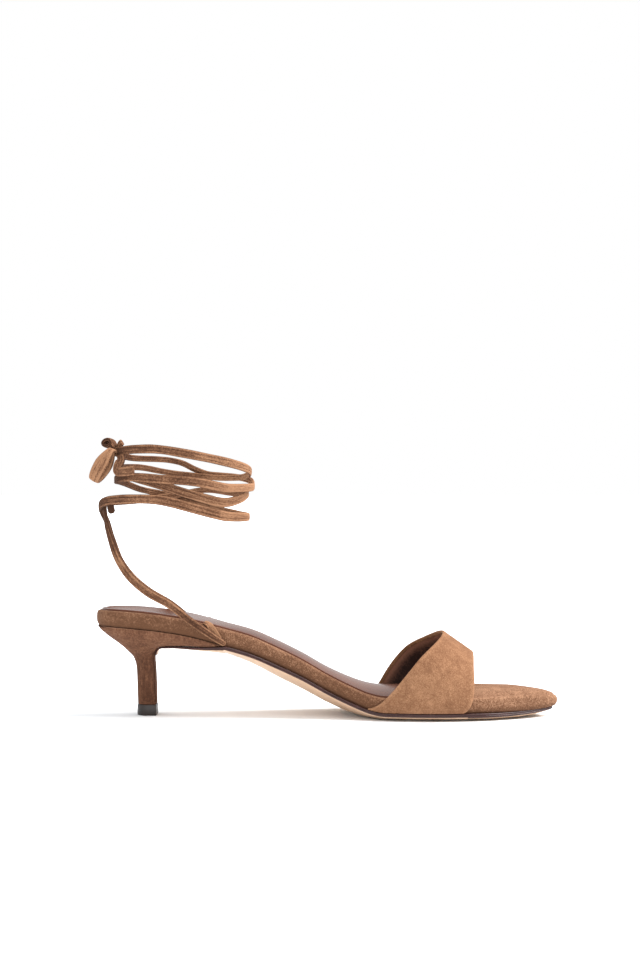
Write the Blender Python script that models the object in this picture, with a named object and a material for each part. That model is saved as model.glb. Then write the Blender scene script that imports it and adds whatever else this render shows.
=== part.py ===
"""Left kitten-heel sandal: suede vamp band, wrapped footbed, slim heel and ankle ties with a bow.

Metres, +Z up. The toe points along +X, the outer side of the foot is +Y, and the floor is Z = 0.
The tables are in millimetres: a station is measured forward from the back of the heel.
"""

from collections import namedtuple

import bmesh
import bpy
import numpy as np

MM = 0.001
WELD = 0.02
SLIVER = 0.005
SHARP_ANGLE = 38.0
SMALL = 1e-6

# Driving sizes
LENGTH = 245.0
GAP = 0.3
OUTSOLE = 2.1
OUTSOLE_PROUD = 0.8
OUTSOLE_TOE_INSET = 2.4
OUTSOLE_TOE_FROM = 205.0
OUTSOLE_EDGE_ROUND = 0.6
OUTSOLE_EDGE_RISE = 0.35
INSOLE = 1.0
INSOLE_INSET = 2.8
INSOLE_BEVEL = 0.4
INSOLE_BEVEL_FROM = 0.7
INSOLE_END = 188.0
VAMP_WALL = 1.7
STRAP_WIDTH = 5.3
STRAP_THICK = 1.9
STRAP_CORNERS = 8

# Footbed and sole, a row for each section. half: half of the width, centre: how far the section's
# middle lies to the outer side, edge: height of the seam at the inner side, side: height of the
# footbed's side, drop: how far the underside's middle hangs below its edges, flat: share of the
# width that is level there, tilt: how far the outer edge is below the inner, dish: hollow on top.
Section = namedtuple("Section", "station half centre edge side drop flat tilt dish")
SECTIONS = [
    Section(0, 0.0, 0.0, 48.2, 8.0, 0.0, 0.3, 0.0, 0.5),
    Section(5, 16.0, 0.0, 48.2, 8.2, 0.0, 0.3, 0.0, 0.9),
    Section(12, 21.5, 0.0, 48.0, 8.3, 0.0, 0.3, 0.0, 1.1),
    Section(24, 25.2, 0.0, 47.2, 8.4, 0.0, 0.3, 0.0, 1.2),
    Section(36, 26.0, 0.1, 45.9, 8.3, 0.0, 0.3, 0.0, 1.2),
    Section(50, 25.8, 0.4, 43.5, 8.4, 0.7, 0.2, 0.1, 1.1),
    Section(69, 24.8, 1.2, 38.3, 8.8, 2.6, 0.1, 0.3, 0.9),
    Section(83, 24.2, 1.9, 34.0, 9.0, 4.0, 0.0, 0.5, 0.8),
    Section(96, 24.3, 2.4, 28.4, 8.9, 5.2, 0.0, 0.7, 0.7),
    Section(110, 25.6, 2.8, 21.9, 8.5, 5.6, 0.0, 1.0, 0.6),
    Section(123, 27.6, 3.0, 14.9, 8.1, 5.2, 0.1, 1.3, 0.5),
    Section(136, 30.7, 2.6, 8.9, 7.9, 4.4, 0.2, 1.0, 0.4),
    Section(145, 33.0, 2.2, 5.5, 7.8, 2.8, 0.4, 0.3, 0.3),
    Section(154, 35.1, 1.7, 4.2, 7.7, 1.8, 0.6, 0.0, 0.2),
    Section(171, 37.4, 0.7, 4.2, 7.7, 1.8, 0.6, 0.0, 0.0),
    Section(180, 37.0, 0.0, 4.2, 7.8, 1.8, 0.6, 0.0, 0.0),
    Section(193, 34.7, -1.1, 4.2, 8.1, 1.8, 0.6, 0.0, -0.4),
    Section(206, 30.4, -2.3, 4.2, 8.4, 1.8, 0.6, 0.0, -0.9),
    Section(218, 24.4, -3.3, 4.3, 8.4, 1.6, 0.6, 0.0, -0.9),
    Section(230, 17.4, -4.2, 4.8, 7.8, 1.2, 0.6, 0.0, -0.7),
    Section(239, 10.6, -4.8, 5.5, 6.6, 0.5, 0.6, 0.0, -0.4),
    Section(LENGTH, 0.0, -5.2, 6.0, 5.0, 0.0, 0.6, 0.0, 0.0),
]
HEEL_ROUND = 20.0
TOE_ROUND = 34.0
ROUND_STEPS = 7
MIDDLE_STEPS = 28
COLUMNS = np.array([-1.0, -0.82, -0.6, 0.0, 0.6, 0.82, 1.0])
MIDDLE = len(COLUMNS) // 2

# Side of the footbed from its seam to its top, inset in mm and rise as a share of the side
SideRow = namedtuple("SideRow", "inset rise")
FOOTBED_SIDE = [
    SideRow(1.2, 0.0),
    SideRow(0.3, 0.2),
    SideRow(0.0, 0.5),
    SideRow(0.15, 0.78),
    SideRow(0.7, 0.94),
    SideRow(2.2, 1.0),
]

# Outsole behind the waist, under the heel's wing and down the breast
WING_TIP = 69.0
BREAST = 36.0
BREAST_TURN = 4.4
BREAST_DROP = 4.7
BREAST_HALF = 6.4
WING_SPREAD = 0.55
WING_STEPS = 13
BREAST_STEPS = 5
SkiveRow = namedtuple("SkiveRow", "station top thick")
SKIVE = [
    SkiveRow(BREAST, 37.2, 0.9),
    SkiveRow(43, 37.6, 1.0),
    SkiveRow(52, 37.4, 1.2),
    SkiveRow(60, 37.6, 1.6),
    SkiveRow(WING_TIP, 38.0, OUTSOLE),
]

# Vamp: reach is the share of the way over the foot from inner seam to outer seam, and back and
# front are the stations of its two edges there.
VampRow = namedtuple("VampRow", "reach back front")
VAMP_EDGES = [
    VampRow(0.0, 143.6, 193.2),
    VampRow(0.05, 146.7, 194.9),
    VampRow(0.1, 151.5, 196.6),
    VampRow(0.18, 160.1, 198.5),
    VampRow(0.27, 169.8, 199.3),
    VampRow(0.36, 179.0, 199.7),
    VampRow(0.43, 183.4, 200.4),
    VampRow(0.5, 184.6, 200.8),
    VampRow(0.59, 181.6, 200.4),
    VampRow(0.65, 176.3, 199.8),
    VampRow(0.73, 165.4, 198.4),
    VampRow(0.81, 156.5, 196.2),
    VampRow(0.87, 151.6, 194.2),
    VampRow(1.0, 142.0, 187.0),
]
VAMP_PEAK = 44.6
VAMP_PEAK_STATION = 185.0
VAMP_SLOPE = -0.70
VAMP_FULLNESS = 2.15
VAMP_STAND_OFF = 2.6
VAMP_LIFT = 0.2
VAMP_TUCK = 1.4
VAMP_TUCK_HEIGHT = 4.0
VAMP_OVER_STEPS = 40
VAMP_ALONG_STEPS = 10
VAMP_PROBE = 0.01

# Heel block, a row for each level from the tip up: back and front are its ends, half its widest
# half width, and low and high the heights of its back and front ends.
HeelRow = namedtuple("HeelRow", "back front half low high")
HEEL_ROWS = [
    HeelRow(21.9, 31.9, 6.3, 6.0, 6.0),
    HeelRow(21.6, 31.7, 6.6, 15.5, 15.5),
    HeelRow(21.3, 31.3, 7.0, 23.5, 24.5),
    HeelRow(20.8, 30.9, 7.7, 27.5, 30.0),
    HeelRow(19.7, 31.2, 8.9, 30.6, 33.0),
    HeelRow(18.6, 31.7, 9.9, 32.2, 34.4),
    HeelRow(16.8, 32.6, 11.6, 33.9, 35.7),
    HeelRow(14.4, 34.3, 13.8, 36.2, 36.9),
    HeelRow(11.4, 37.2, 16.4, 38.6, 37.4),
    HeelRow(8.0, 42.0, 19.3, 41.0, 37.8),
    HeelRow(4.8, 48.5, 21.9, 43.4, 37.9),
    HeelRow(2.0, 57.0, 24.0, 45.8, 37.9),
    HeelRow(0.9, 64.0, 24.9, 47.2, 38.3),
]
HEEL_SEAT_INSET = 0.5
HEEL_SEAT_FRONT = 67.5
HEEL_ROUND_SHARE = 0.55
HEEL_LINE_BEND = 2.3
HEEL_SIDE_STEPS = 12
TIP_HEIGHT = 5.7
TIP_PROUD = 0.3
TIP_BEVEL = 0.4

# Ankle ties: an oval round the ankle, whose back moves in above the crossing, and a row for each
# fold of a tie, with the angle turned from the crossing behind the ankle, its height, and how far
# it lies outside the oval.
OVAL_FRONT = 81.7
OVAL_BACK_LOW = 3.2
OVAL_BACK_HIGH = 11.4
OVAL_LOW = 114.0
OVAL_HIGH = 123.0
OVAL_WIDE = 28.5
FoldRow = namedtuple("FoldRow", "turned height layer")
INNER_FOLDS = [
    FoldRow(0, 112.9, -1.2),
    FoldRow(57, 114.2, -1.3),
    FoldRow(80, 116.2, -1.3),
    FoldRow(110, 119.7, -1.3),
    FoldRow(148, 117.8, -1.3),
    FoldRow(184, 117.7, -1.5),
    FoldRow(203, 115.5, -1.5),
    FoldRow(226, 113.4, -1.3),
    FoldRow(253, 116.8, -1.3),
    FoldRow(303, 124.6, -1.3),
    FoldRow(340, 128.8, -1.3),
    FoldRow(372, 131.6, -1.3),
    FoldRow(398, 132.0, -1.3),
    FoldRow(430, 129.5, -1.3),
    FoldRow(458, 127.3, -1.3),
    FoldRow(490, 126.3, -1.5),
    FoldRow(526, 127.0, -1.4),
    FoldRow(545, 129.4, 0.2),
    FoldRow(563, 131.5, 0.6),
    FoldRow(600, 135.8, 0.2),
    FoldRow(632, 139.5, 0.0),
    FoldRow(655, 141.3, 0.0),
    FoldRow(672, 141.4, 0.0),
    FoldRow(700, 140.6, 0.3),
]
OUTER_FOLDS = [
    FoldRow(0, 110.2, 1.4),
    FoldRow(24, 113.6, 1.3),
    FoldRow(60, 115.2, 0.6),
    FoldRow(82, 114.4, 0.0),
    FoldRow(112, 109.2, -0.4),
    FoldRow(136, 105.9, -0.8),
    FoldRow(180, 105.4, -1.0),
    FoldRow(231, 108.3, 0.4),
    FoldRow(268, 114.7, 1.7),
    FoldRow(288, 117.7, 2.3),
    FoldRow(308, 119.8, 2.3),
    FoldRow(345, 124.6, 1.5),
    FoldRow(365, 125.2, 1.3),
    FoldRow(399, 126.7, 1.4),
    FoldRow(435, 125.7, 1.4),
    FoldRow(463, 124.1, 1.4),
    FoldRow(496, 120.9, 1.3),
    FoldRow(538, 121.5, 1.5),
    FoldRow(560, 125.0, 1.9),
    FoldRow(594, 127.3, 1.6),
    FoldRow(616, 128.9, 1.4),
    FoldRow(640, 135.4, 1.3),
    FoldRow(688, 137.4, 1.0),
    FoldRow(724, 140.2, 0.5),
]
FOLD_STEP = 11.0

# Gathering: shares of the strap's width that are left where it is creased narrower
GATHER_OUTER_SIDE = 0.68
GATHER_HIGH = 0.9
GATHER_HIGH_FROM = 112.0
GATHER_HIGH_TO = 120.0
GATHER_SHORT_END = 0.65

# Risers, a row for each point from the slot up: side is the distance from the sole's middle line,
# facing the direction the strap's face looks in, with 90 to its own side and 180 to the back, and
# share the part of the strap's width that is left.
RiserRow = namedtuple("RiserRow", "station side height facing share")
RISER = [
    RiserRow(69.5, 27.4, 39.2, 90, 0.58),
    RiserRow(61.6, 28.3, 44.6, 90, 0.68),
    RiserRow(51.2, 28.9, 52.0, 90, 0.74),
    RiserRow(40.8, 28.3, 60.0, 92, 0.76),
    RiserRow(29.2, 26.4, 66.6, 98, 0.78),
    RiserRow(19.6, 22.8, 74.2, 112, 0.80),
    RiserRow(13.4, 18.6, 82.4, 126, 0.82),
    RiserRow(8.3, 12.6, 94.4, 145, 0.84),
    RiserRow(5.6, 7.4, 103.4, 160, 0.84),
]
OUTER_LAG = 3.6
OUTER_SAG = 2.4
TIE_SPACING = 5.4

# Anchor straps, from the insole's edge over the footbed's side to the slot
ANCHOR_WIDTH = 3.6
ANCHOR_THICK = 1.0
ANCHOR_SPACING = 1.7
ANCHOR_LEAN = 1.2
AnchorRow = namedtuple("AnchorRow", "station side over share")
ANCHOR = [
    AnchorRow(58.6, -1.2, 0.75, 0.7),
    AnchorRow(60.4, 0.1, 0.6, 0.9),
    AnchorRow(62.6, 0.95, -1.1, 1.0),
    AnchorRow(64.9, 0.95, -3.7, 0.9),
    AnchorRow(67.2, 0.9, -6.3, 0.6),
]

# Bow behind the ankle: knot at this turn of the oval, and loops by direction, length, opening and
# shares of the strap's width at the knot, half way and at the tip.
KNOT_TURN = 168.0
KNOT_HEIGHT = 140.1
KNOT_OUT = 0.5
KNOT_LONG = 6.4
KNOT_TALL = 5.4
KNOT_DEEP = 5.4
KNOT_FULLNESS = 2.8
KNOT_END = 0.96
KNOT_LEVELS = 7
KNOT_CORNERS = 12
LoopRow = namedtuple("LoopRow", "name start along open length opening neck belly tip")
LOOPS = [
    LoopRow("bow_loop_large", (-2.9, -4.7, 0.9), (-0.49, -0.1, -0.87), (-0.3, -0.93, 0.2),
            18.2, 6.0, 0.7, 1.45, 1.2),
    LoopRow("bow_loop_small", (-2.8, 0.3, 4.6), (-0.75, 0.6, 0.0), (0.2, 0.1, 0.97),
            5.8, 3.6, 0.9, 0.9, 0.9),
]
LOOP_STEPS = 20
LOOP_SPREAD = 0.8
EndRow = namedtuple("EndRow", "station side height")
LONG_END = [
    EndRow(13.8, -14.4, 135.4),
    EndRow(12.4, -15.2, 132.4),
    EndRow(12.4, -16.8, 130.0),
    EndRow(16.2, -21.4, 129.5),
    EndRow(21.6, -25.8, 130.0),
]
SHORT_END = [
    EndRow(12.8, -6.7, 143.5),
    EndRow(13.2, -7.2, 144.4),
    EndRow(14.0, -7.9, 145.2),
]
END_SPACING = 1.8
END_FACING = (-0.5, -1.0, 0.0)

Look = namedtuple("Look", "colour roughness")
SUEDE = Look((0.30, 0.145, 0.072, 1.0), 0.95)
DARK_SUEDE = Look((0.22, 0.105, 0.056, 1.0), 0.95)
SOLE_LEATHER = Look((0.50, 0.32, 0.20, 1.0), 0.55)
SOCK_LEATHER = Look((0.095, 0.048, 0.036, 1.0), 0.45)
TIP_RUBBER = Look((0.012, 0.009, 0.008, 1.0), 0.5)


def smooth(keys, values, at, limit=True):
    """Cubic curve through (keys, values), read at the given places, without overshoot if limited."""
    keys = np.asarray(keys, float)
    values = np.asarray(values, float)
    steps = np.diff(keys)
    slopes = np.diff(values) / steps
    tangents = np.concatenate([[slopes[0]], (slopes[1:] + slopes[:-1]) / 2, [slopes[-1]]])
    if limit:
        turning = slopes[1:] * slopes[:-1] <= 0
        least = np.minimum(np.abs(slopes[1:]), np.abs(slopes[:-1]))
        inner = np.clip(tangents[1:-1], -3 * least, 3 * least)
        tangents[1:-1] = np.where(turning, 0.0, inner)
    at = np.clip(np.asarray(at, float), keys[0], keys[-1])
    cell = np.clip(np.searchsorted(keys, at, side="right") - 1, 0, len(steps) - 1)
    t = (at - keys[cell]) / steps[cell]
    size = steps[cell]
    return (
        (2 * t**3 - 3 * t**2 + 1) * values[cell]
        + (t**3 - 2 * t**2 + t) * size * tangents[cell]
        + (3 * t**2 - 2 * t**3) * values[cell + 1]
        + (t**3 - t**2) * size * tangents[cell + 1]
    )


def column(rows, name, at):
    """One column of a table with stations, read smoothly at the given stations."""
    return smooth([row.station for row in rows], [getattr(row, name) for row in rows], at)


def half_width(station):
    """Half width of the footbed. Squares are interpolated, which keeps heel and toe round."""
    squares = [row.half**2 for row in SECTIONS]
    return np.sqrt(np.maximum(smooth([row.station for row in SECTIONS], squares, station), 0.0))


def centre(station):
    return column(SECTIONS, "centre", station)


def camber(station, across):
    """How far the underside hangs below its edges at a place across the sole."""
    level = column(SECTIONS, "flat", station)
    beyond = np.clip((np.abs(across) - level) / (1 - level), 0.0, 1.0)
    return column(SECTIONS, "drop", station) * (1 - beyond**2)


def seam(station, across):
    """Height of the footbed's underside."""
    tilt = column(SECTIONS, "tilt", station) * (1 + across) / 2
    return column(SECTIONS, "edge", station) - tilt - camber(station, across)


def bed(station, across):
    """Height of the footbed's top."""
    tilt = column(SECTIONS, "tilt", station) * (1 + across) / 2
    rise = column(SECTIONS, "edge", station) + column(SECTIONS, "side", station)
    return rise - tilt - column(SECTIONS, "dish", station) * (1 - across**2)


def round_stations(start, end, steps):
    """Stations that crowd towards the start, as along a round nose."""
    angles = np.linspace(0, np.pi / 2, steps + 1)
    return start + (end - start) * (1 - np.cos(angles))


def all_stations():
    heel = round_stations(0.0, HEEL_ROUND, ROUND_STEPS)
    toe = round_stations(LENGTH, LENGTH - TOE_ROUND, ROUND_STEPS)[::-1]
    middle = np.linspace(HEEL_ROUND, LENGTH - TOE_ROUND, MIDDLE_STEPS)
    return np.concatenate([heel, middle[1:-1], toe])


def plan(stations, inset, round_start=True, round_end=True):
    """Inner and outer plan outlines as (station, Y) rows, moved in from the footbed's own outline."""
    sides = []
    for sign in (-1, 1):
        points = np.stack([stations, centre(stations) + sign * half_width(stations)], axis=1)
        tangent = np.gradient(points, axis=0)
        if round_start:
            tangent[0] = (0, sign)
        if round_end:
            tangent[-1] = (0, -sign)
        tangent /= np.linalg.norm(tangent, axis=1, keepdims=True)
        inward = -sign * np.stack([-tangent[:, 1], tangent[:, 0]], axis=1)
        sides.append(points + inset * inward)
    return sides


def between(inner, outer):
    """Grid of places across the sole from two outlines: (rows, columns, 2)."""
    share = ((COLUMNS + 1) / 2)[None, :, None]
    return inner[:, None, :] * (1 - share) + outer[:, None, :] * share


def plan_grid(stations, inset, **ends):
    """Grid of places across the sole, moved in from the footbed's own outline."""
    return between(*plan(stations, inset, **ends))


def raised(grid, height):
    """The grid as 3D points, with the height read from a function of station and place across."""
    across = np.broadcast_to(COLUMNS, grid.shape[:2])
    heights = height(grid[:, :, 0], across)
    pointed = np.ptp(grid[:, :, 1], axis=1) < SMALL
    heights[pointed] = heights[pointed, :1]
    return np.dstack([grid, heights])


def rim(grid):
    """The points round the edge of a grid, in the order that add_sheet gives its own."""
    return np.concatenate([grid[:, 0], grid[-1, 1:], grid[-2::-1, -1], grid[0, -2:0:-1]])


def new_object(name, mesh_builder, look):
    """A closed object from a bmesh: doubled points are welded and the faces turned outwards."""
    bmesh.ops.remove_doubles(mesh_builder, verts=mesh_builder.verts, dist=WELD * MM)
    bmesh.ops.dissolve_degenerate(mesh_builder, edges=mesh_builder.edges, dist=SLIVER * MM)
    bmesh.ops.recalc_face_normals(mesh_builder, faces=mesh_builder.faces)
    mesh = bpy.data.meshes.new(name)
    mesh_builder.to_mesh(mesh)
    mesh_builder.free()
    mesh.shade_smooth()
    mesh.set_sharp_from_angle(angle=np.radians(SHARP_ANGLE))
    mesh.materials.append(material(name, look))
    part = bpy.data.objects.new(name, mesh)
    bpy.data.collections["ankle_tie_sandal"].objects.link(part)
    return part


def material(name, look):
    shader = bpy.data.materials.new(name)
    shader.use_nodes = True
    principled = shader.node_tree.nodes["Principled BSDF"]
    principled.inputs["Base Color"].default_value = look.colour
    principled.inputs["Roughness"].default_value = look.roughness
    principled.inputs["Metallic"].default_value = 0.0
    return shader


def placed(point):
    """A tabled place, in mm from the heel's back, as a point in the part's frame."""
    return ((point[0] - LENGTH / 2) * MM, point[1] * MM, point[2] * MM)


def add_points(builder, points):
    return [builder.verts.new(placed(point)) for point in points]


def add_face(builder, corners):
    """A face, or none where its corners run together."""
    distinct = list(dict.fromkeys(corners))
    if len(distinct) > 2:
        builder.faces.new(distinct)


def bridge(builder, first, second, closed=True):
    """Faces between two rows of points."""
    last = len(first) if closed else len(first) - 1
    for i in range(last):
        j = (i + 1) % len(first)
        add_face(builder, (first[i], first[j], second[j], second[i]))


def add_sheet(builder, grid):
    """Faces over a grid of points, and its rim in order."""
    rows = [add_points(builder, row) for row in grid]
    for first, second in zip(rows, rows[1:]):
        bridge(builder, first, second, closed=False)
    left = [row[0] for row in rows]
    right = [row[-1] for row in rows]
    return left + rows[-1][1:] + right[-2::-1] + rows[0][-2:0:-1]


def plate(name, grids, look):
    """A closed plate: the first grid is its underside, the last its top, and the rest are side rows."""
    builder = bmesh.new()
    below = add_sheet(builder, grids[0])
    for grid in grids[1:-1]:
        row = add_points(builder, rim(grid))
        bridge(builder, below, row)
        below = row
    bridge(builder, below, add_sheet(builder, grids[-1]))
    return new_object(name, builder, look)


def make_footbed():
    stations = all_stations()
    grids = []
    for row in FOOTBED_SIDE:

        def height(station, across, rise=row.rise):
            low = seam(station, across)
            return low + rise * (bed(station, across) - low)

        grids.append(raised(plan_grid(stations, row.inset), height))
    return plate("footbed", grids, SUEDE)


def make_insole():
    """Leather sock that lies on the footbed and ends under the vamp."""
    stations = all_stations()
    stations = np.append(stations[stations < INSOLE_END - 1], INSOLE_END)
    grids = []
    for inset, rise in ((0.0, 0.0), (0.0, INSOLE_BEVEL_FROM), (INSOLE_BEVEL, 1.0)):
        grid = plan_grid(stations, INSOLE_INSET + inset, round_end=False)
        lift = GAP + rise * INSOLE
        grids.append(raised(grid, lambda station, across: bed(station, across) + lift))
    return plate("insole", grids, SOCK_LEATHER)


def outsole_proud(station):
    """How far the outsole stands out beyond the footbed: less towards the toe, where it draws in."""
    share = np.clip((station - OUTSOLE_TOE_FROM) / (LENGTH - OUTSOLE_TOE_FROM), 0, 1)
    return OUTSOLE_PROUD - (OUTSOLE_PROUD + OUTSOLE_TOE_INSET) * share


def outsole_half(station):
    """Half width of the outsole, which narrows behind the waist to the heel's breast."""
    share = np.clip((station - BREAST + BREAST_TURN) / (WING_TIP - BREAST + BREAST_TURN), 0, 1)
    full = half_width(np.maximum(station, WING_TIP)) + outsole_proud(station)
    return BREAST_HALF + (full - BREAST_HALF) * share**WING_SPREAD


def outsole_top(station, across):
    """Height of the outsole's upper face: the seam in front, and the wing's underside behind it."""
    wing = column(SKIVE, "top", station) - camber(station, across)
    wing -= column(SECTIONS, "tilt", station) * (1 + across) / 2
    toe = np.clip((station - OUTSOLE_TOE_FROM) / (LENGTH - OUTSOLE_TOE_FROM), 0, 1)
    return np.where(station < WING_TIP, wing, seam(station, across)) - GAP * (1 + toe)


def outsole_thick(station):
    return np.where(station < WING_TIP, column(SKIVE, "thick", station), OUTSOLE)


def breast_rows():
    """Rows down the heel's breast, from the free end up: place and the way the underside faces."""
    turn = np.linspace(np.pi / 2, 0, BREAST_STEPS + 1)[:-1]
    top = column(SKIVE, "top", BREAST) - GAP
    rows = [(BREAST - BREAST_TURN, float(top) - BREAST_DROP, (1.0, 0.0))]
    for angle in turn:
        place = (BREAST - BREAST_TURN * np.sin(angle), float(top) - BREAST_TURN * (1 - np.cos(angle)))
        rows.append((*place, (np.sin(angle), -np.cos(angle))))
    return rows


def make_outsole():
    front = all_stations()
    wing = np.linspace(BREAST, WING_TIP, WING_STEPS + 1)[:-1]
    front = np.concatenate([wing, front[front > WING_TIP - 1]])
    top_rows, low_rows, bottom_rows = [], [], []
    for station, height, facing in breast_rows():
        thick = SKIVE[0].thick
        y = COLUMNS * float(outsole_half(np.array(station)))
        top = np.stack([np.full_like(y, station), y, np.full_like(y, height)], axis=1)
        top_rows.append(top)
        below = top + thick * np.array([facing[0], 0.0, facing[1]])
        low_rows.append(below)
        bottom_rows.append(below)
    inner, outer = plan(front, -outsole_proud(front)[:, None], round_start=False)
    for i, station in enumerate(front):
        if station < WING_TIP:
            half = float(outsole_half(station))
            middle = float(centre(station)) * (station - BREAST) / (WING_TIP - BREAST)
            inner[i] = (station, middle - half)
            outer[i] = (station, middle + half)
    grid = between(inner, outer)
    top = raised(grid, outsole_top)
    low = raised(grid, lambda s, across: outsole_top(s, across) - outsole_thick(s))
    keep = 1 - OUTSOLE_EDGE_ROUND / np.maximum(outsole_half(grid[:, :1, 0]), OUTSOLE)
    tucked = grid.copy()
    middle = grid[:, MIDDLE : MIDDLE + 1, 1]
    tucked[:, :, 1] = (grid[:, :, 1] - middle) * keep + middle
    tucked[-1, :, 0] -= OUTSOLE_EDGE_ROUND
    bottom = raised(tucked, lambda s, across: outsole_top(s, across) - outsole_thick(s))
    low[:, :, 2] += OUTSOLE_EDGE_RISE
    grids = [
        np.concatenate([bottom_rows, bottom]),
        np.concatenate([low_rows, low]),
        np.concatenate([top_rows, top]),
    ]
    return plate("outsole", grids, SOLE_LEATHER)


def vamp_surface(station, reach):
    """Outer face of the vamp: an arch over the foot on the footbed's outline, tucked in at the seam."""
    angle = np.pi * (1 - np.cos(np.pi * reach)) / 2
    power = 2 / VAMP_FULLNESS
    span = half_width(station) + VAMP_STAND_OFF
    side = -np.sign(np.cos(angle)) * np.abs(np.cos(angle)) ** power
    base = column(SECTIONS, "edge", station) - column(SECTIONS, "tilt", station) * (1 + side) / 2
    crest = VAMP_PEAK + VAMP_SLOPE * (station - VAMP_PEAK_STATION)
    rise = (crest - base) * np.abs(np.sin(angle)) ** power
    tuck = VAMP_TUCK * np.clip(1 - rise / VAMP_TUCK_HEIGHT, 0, 1) ** 2
    y = centre(station) + side * (span - tuck)
    return np.stack([station, y, base + rise + VAMP_LIFT], axis=-1)


def make_vamp():
    reach = np.linspace(0, 1, VAMP_OVER_STEPS + 1)
    keys = [row.reach for row in VAMP_EDGES]
    back = smooth(keys, [row.back for row in VAMP_EDGES], reach)
    front = smooth(keys, [row.front for row in VAMP_EDGES], reach)
    along = np.linspace(0, 1, VAMP_ALONG_STEPS + 1)[:, None]
    station = back + along * (front - back)
    spread = np.broadcast_to(reach, station.shape)
    outer = vamp_surface(station, spread)
    forward = vamp_surface(station + VAMP_PROBE, spread) - outer
    low = np.clip(spread - VAMP_PROBE / 4, 0, 1)
    high = np.clip(spread + VAMP_PROBE / 4, 0, 1)
    over = vamp_surface(station, high) - vamp_surface(station, low)
    normal = np.cross(forward, over)
    normal /= np.linalg.norm(normal, axis=2, keepdims=True)
    level = spread * (1 - spread) < SMALL
    normal[level] *= (1, 1, 0)
    inner = outer - VAMP_WALL * normal
    builder = bmesh.new()
    outside = add_sheet(builder, outer)
    bridge(builder, outside, add_sheet(builder, inner))
    return new_object("vamp", builder, SUEDE)


def heel_outline(back, front, half, front_half):
    """Plan outline of one level of the heel, from the inner front corner round the back."""
    share = 1 - np.cos(np.linspace(0, np.pi / 2, HEEL_SIDE_STEPS + 1))
    rounded = np.sqrt(np.clip(1 - (1 - np.minimum(share / HEEL_ROUND_SHARE, 1)) ** 2, 0, 1))
    taper = np.clip((share - HEEL_ROUND_SHARE) / (1 - HEEL_ROUND_SHARE), 0, 1)
    width = half * rounded + (front_half - half) * taper**2
    station = back + (front - back) * share
    inner = np.stack([station, -width], axis=1)[::-1]
    outer = np.stack([station, width], axis=1)
    return np.concatenate([inner, outer[1:]]), np.concatenate([share[::-1], share[1:]])


def breast_line(outline, top_of):
    """Points across the front of a level, between its corners."""
    share = ((COLUMNS + 1) / 2)[:, None]
    line = outline[-1] * (1 - share) + outline[0] * share
    return np.column_stack([line, top_of(line[:, 0], -COLUMNS)])[1:-1]


def heel_level(row):
    half = float(outsole_half(np.array(row.front)))
    front_half = min(half, row.half)
    outline, share = heel_outline(row.back, row.front, row.half, front_half)
    height = row.low + (row.high - row.low) * share**HEEL_LINE_BEND
    ring = np.column_stack([outline, height])

    def underside(station, across):
        return row.high - camber(station, across)

    return np.concatenate([ring, breast_line(outline, underside)])


def seat_rows():
    """The heel's seat, close under the footbed, as rows across it from the back forward."""
    stations = all_stations()
    stations = np.append(stations[stations < HEEL_SEAT_FRONT - 1], HEEL_SEAT_FRONT)
    grid = plan_grid(stations, HEEL_SEAT_INSET, round_end=False)
    return raised(grid, lambda station, across: seam(station, across) - GAP)


def make_heel_block():
    builder = bmesh.new()
    rings = [add_points(builder, heel_level(row)) for row in HEEL_ROWS]
    add_face(builder, rings[0])
    for lower, upper in zip(rings, rings[1:]):
        bridge(builder, lower, upper)
    edge = add_sheet(builder, seat_rows())
    bmesh.ops.bridge_loops(builder, edges=ring_edges(rings[-1]) + ring_edges(edge))
    return new_object("heel_block", builder, DARK_SUEDE)


def ring_edges(ring):
    """Edges along a closed row of points."""
    edges = []
    for first, second in zip(ring, ring[1:] + ring[:1]):
        edges += [edge for edge in first.link_edges if edge.other_vert(first) is second]
    return edges


def make_heel_tip():
    row = HEEL_ROWS[0]
    builder = bmesh.new()
    rings = []
    for height, proud in ((0.0, 0.0), (TIP_BEVEL, TIP_PROUD), (TIP_HEIGHT, TIP_PROUD)):
        half = row.half + proud
        outline, share = heel_outline(row.back - proud, row.front + proud, half, half)
        rings.append(add_points(builder, np.column_stack([outline, np.full(len(share), height)])))
    add_face(builder, rings[0])
    bridge(builder, rings[0], rings[1])
    bridge(builder, rings[1], rings[2])
    add_face(builder, rings[2])
    return new_object("heel_tip", builder, TIP_RUBBER)


def even_path(points, directions, spacing):
    """A smooth path through the points, with places at even distances, its facing and its width share."""
    points = np.asarray(points, float)
    directions = np.asarray(directions, float)
    lengths = np.linalg.norm(np.diff(points, axis=0), axis=1)
    keys = np.concatenate([[0], np.cumsum(lengths)])
    at = np.linspace(0, keys[-1], max(int(round(keys[-1] / spacing)), 4) + 1)
    path = np.stack([smooth(keys, points[:, k], at, limit=False) for k in range(3)], axis=1)
    facing = np.stack([smooth(keys, directions[:, k], at) for k in range(3)], axis=1)
    return path, facing, smooth(keys, directions[:, 3], at)


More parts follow.
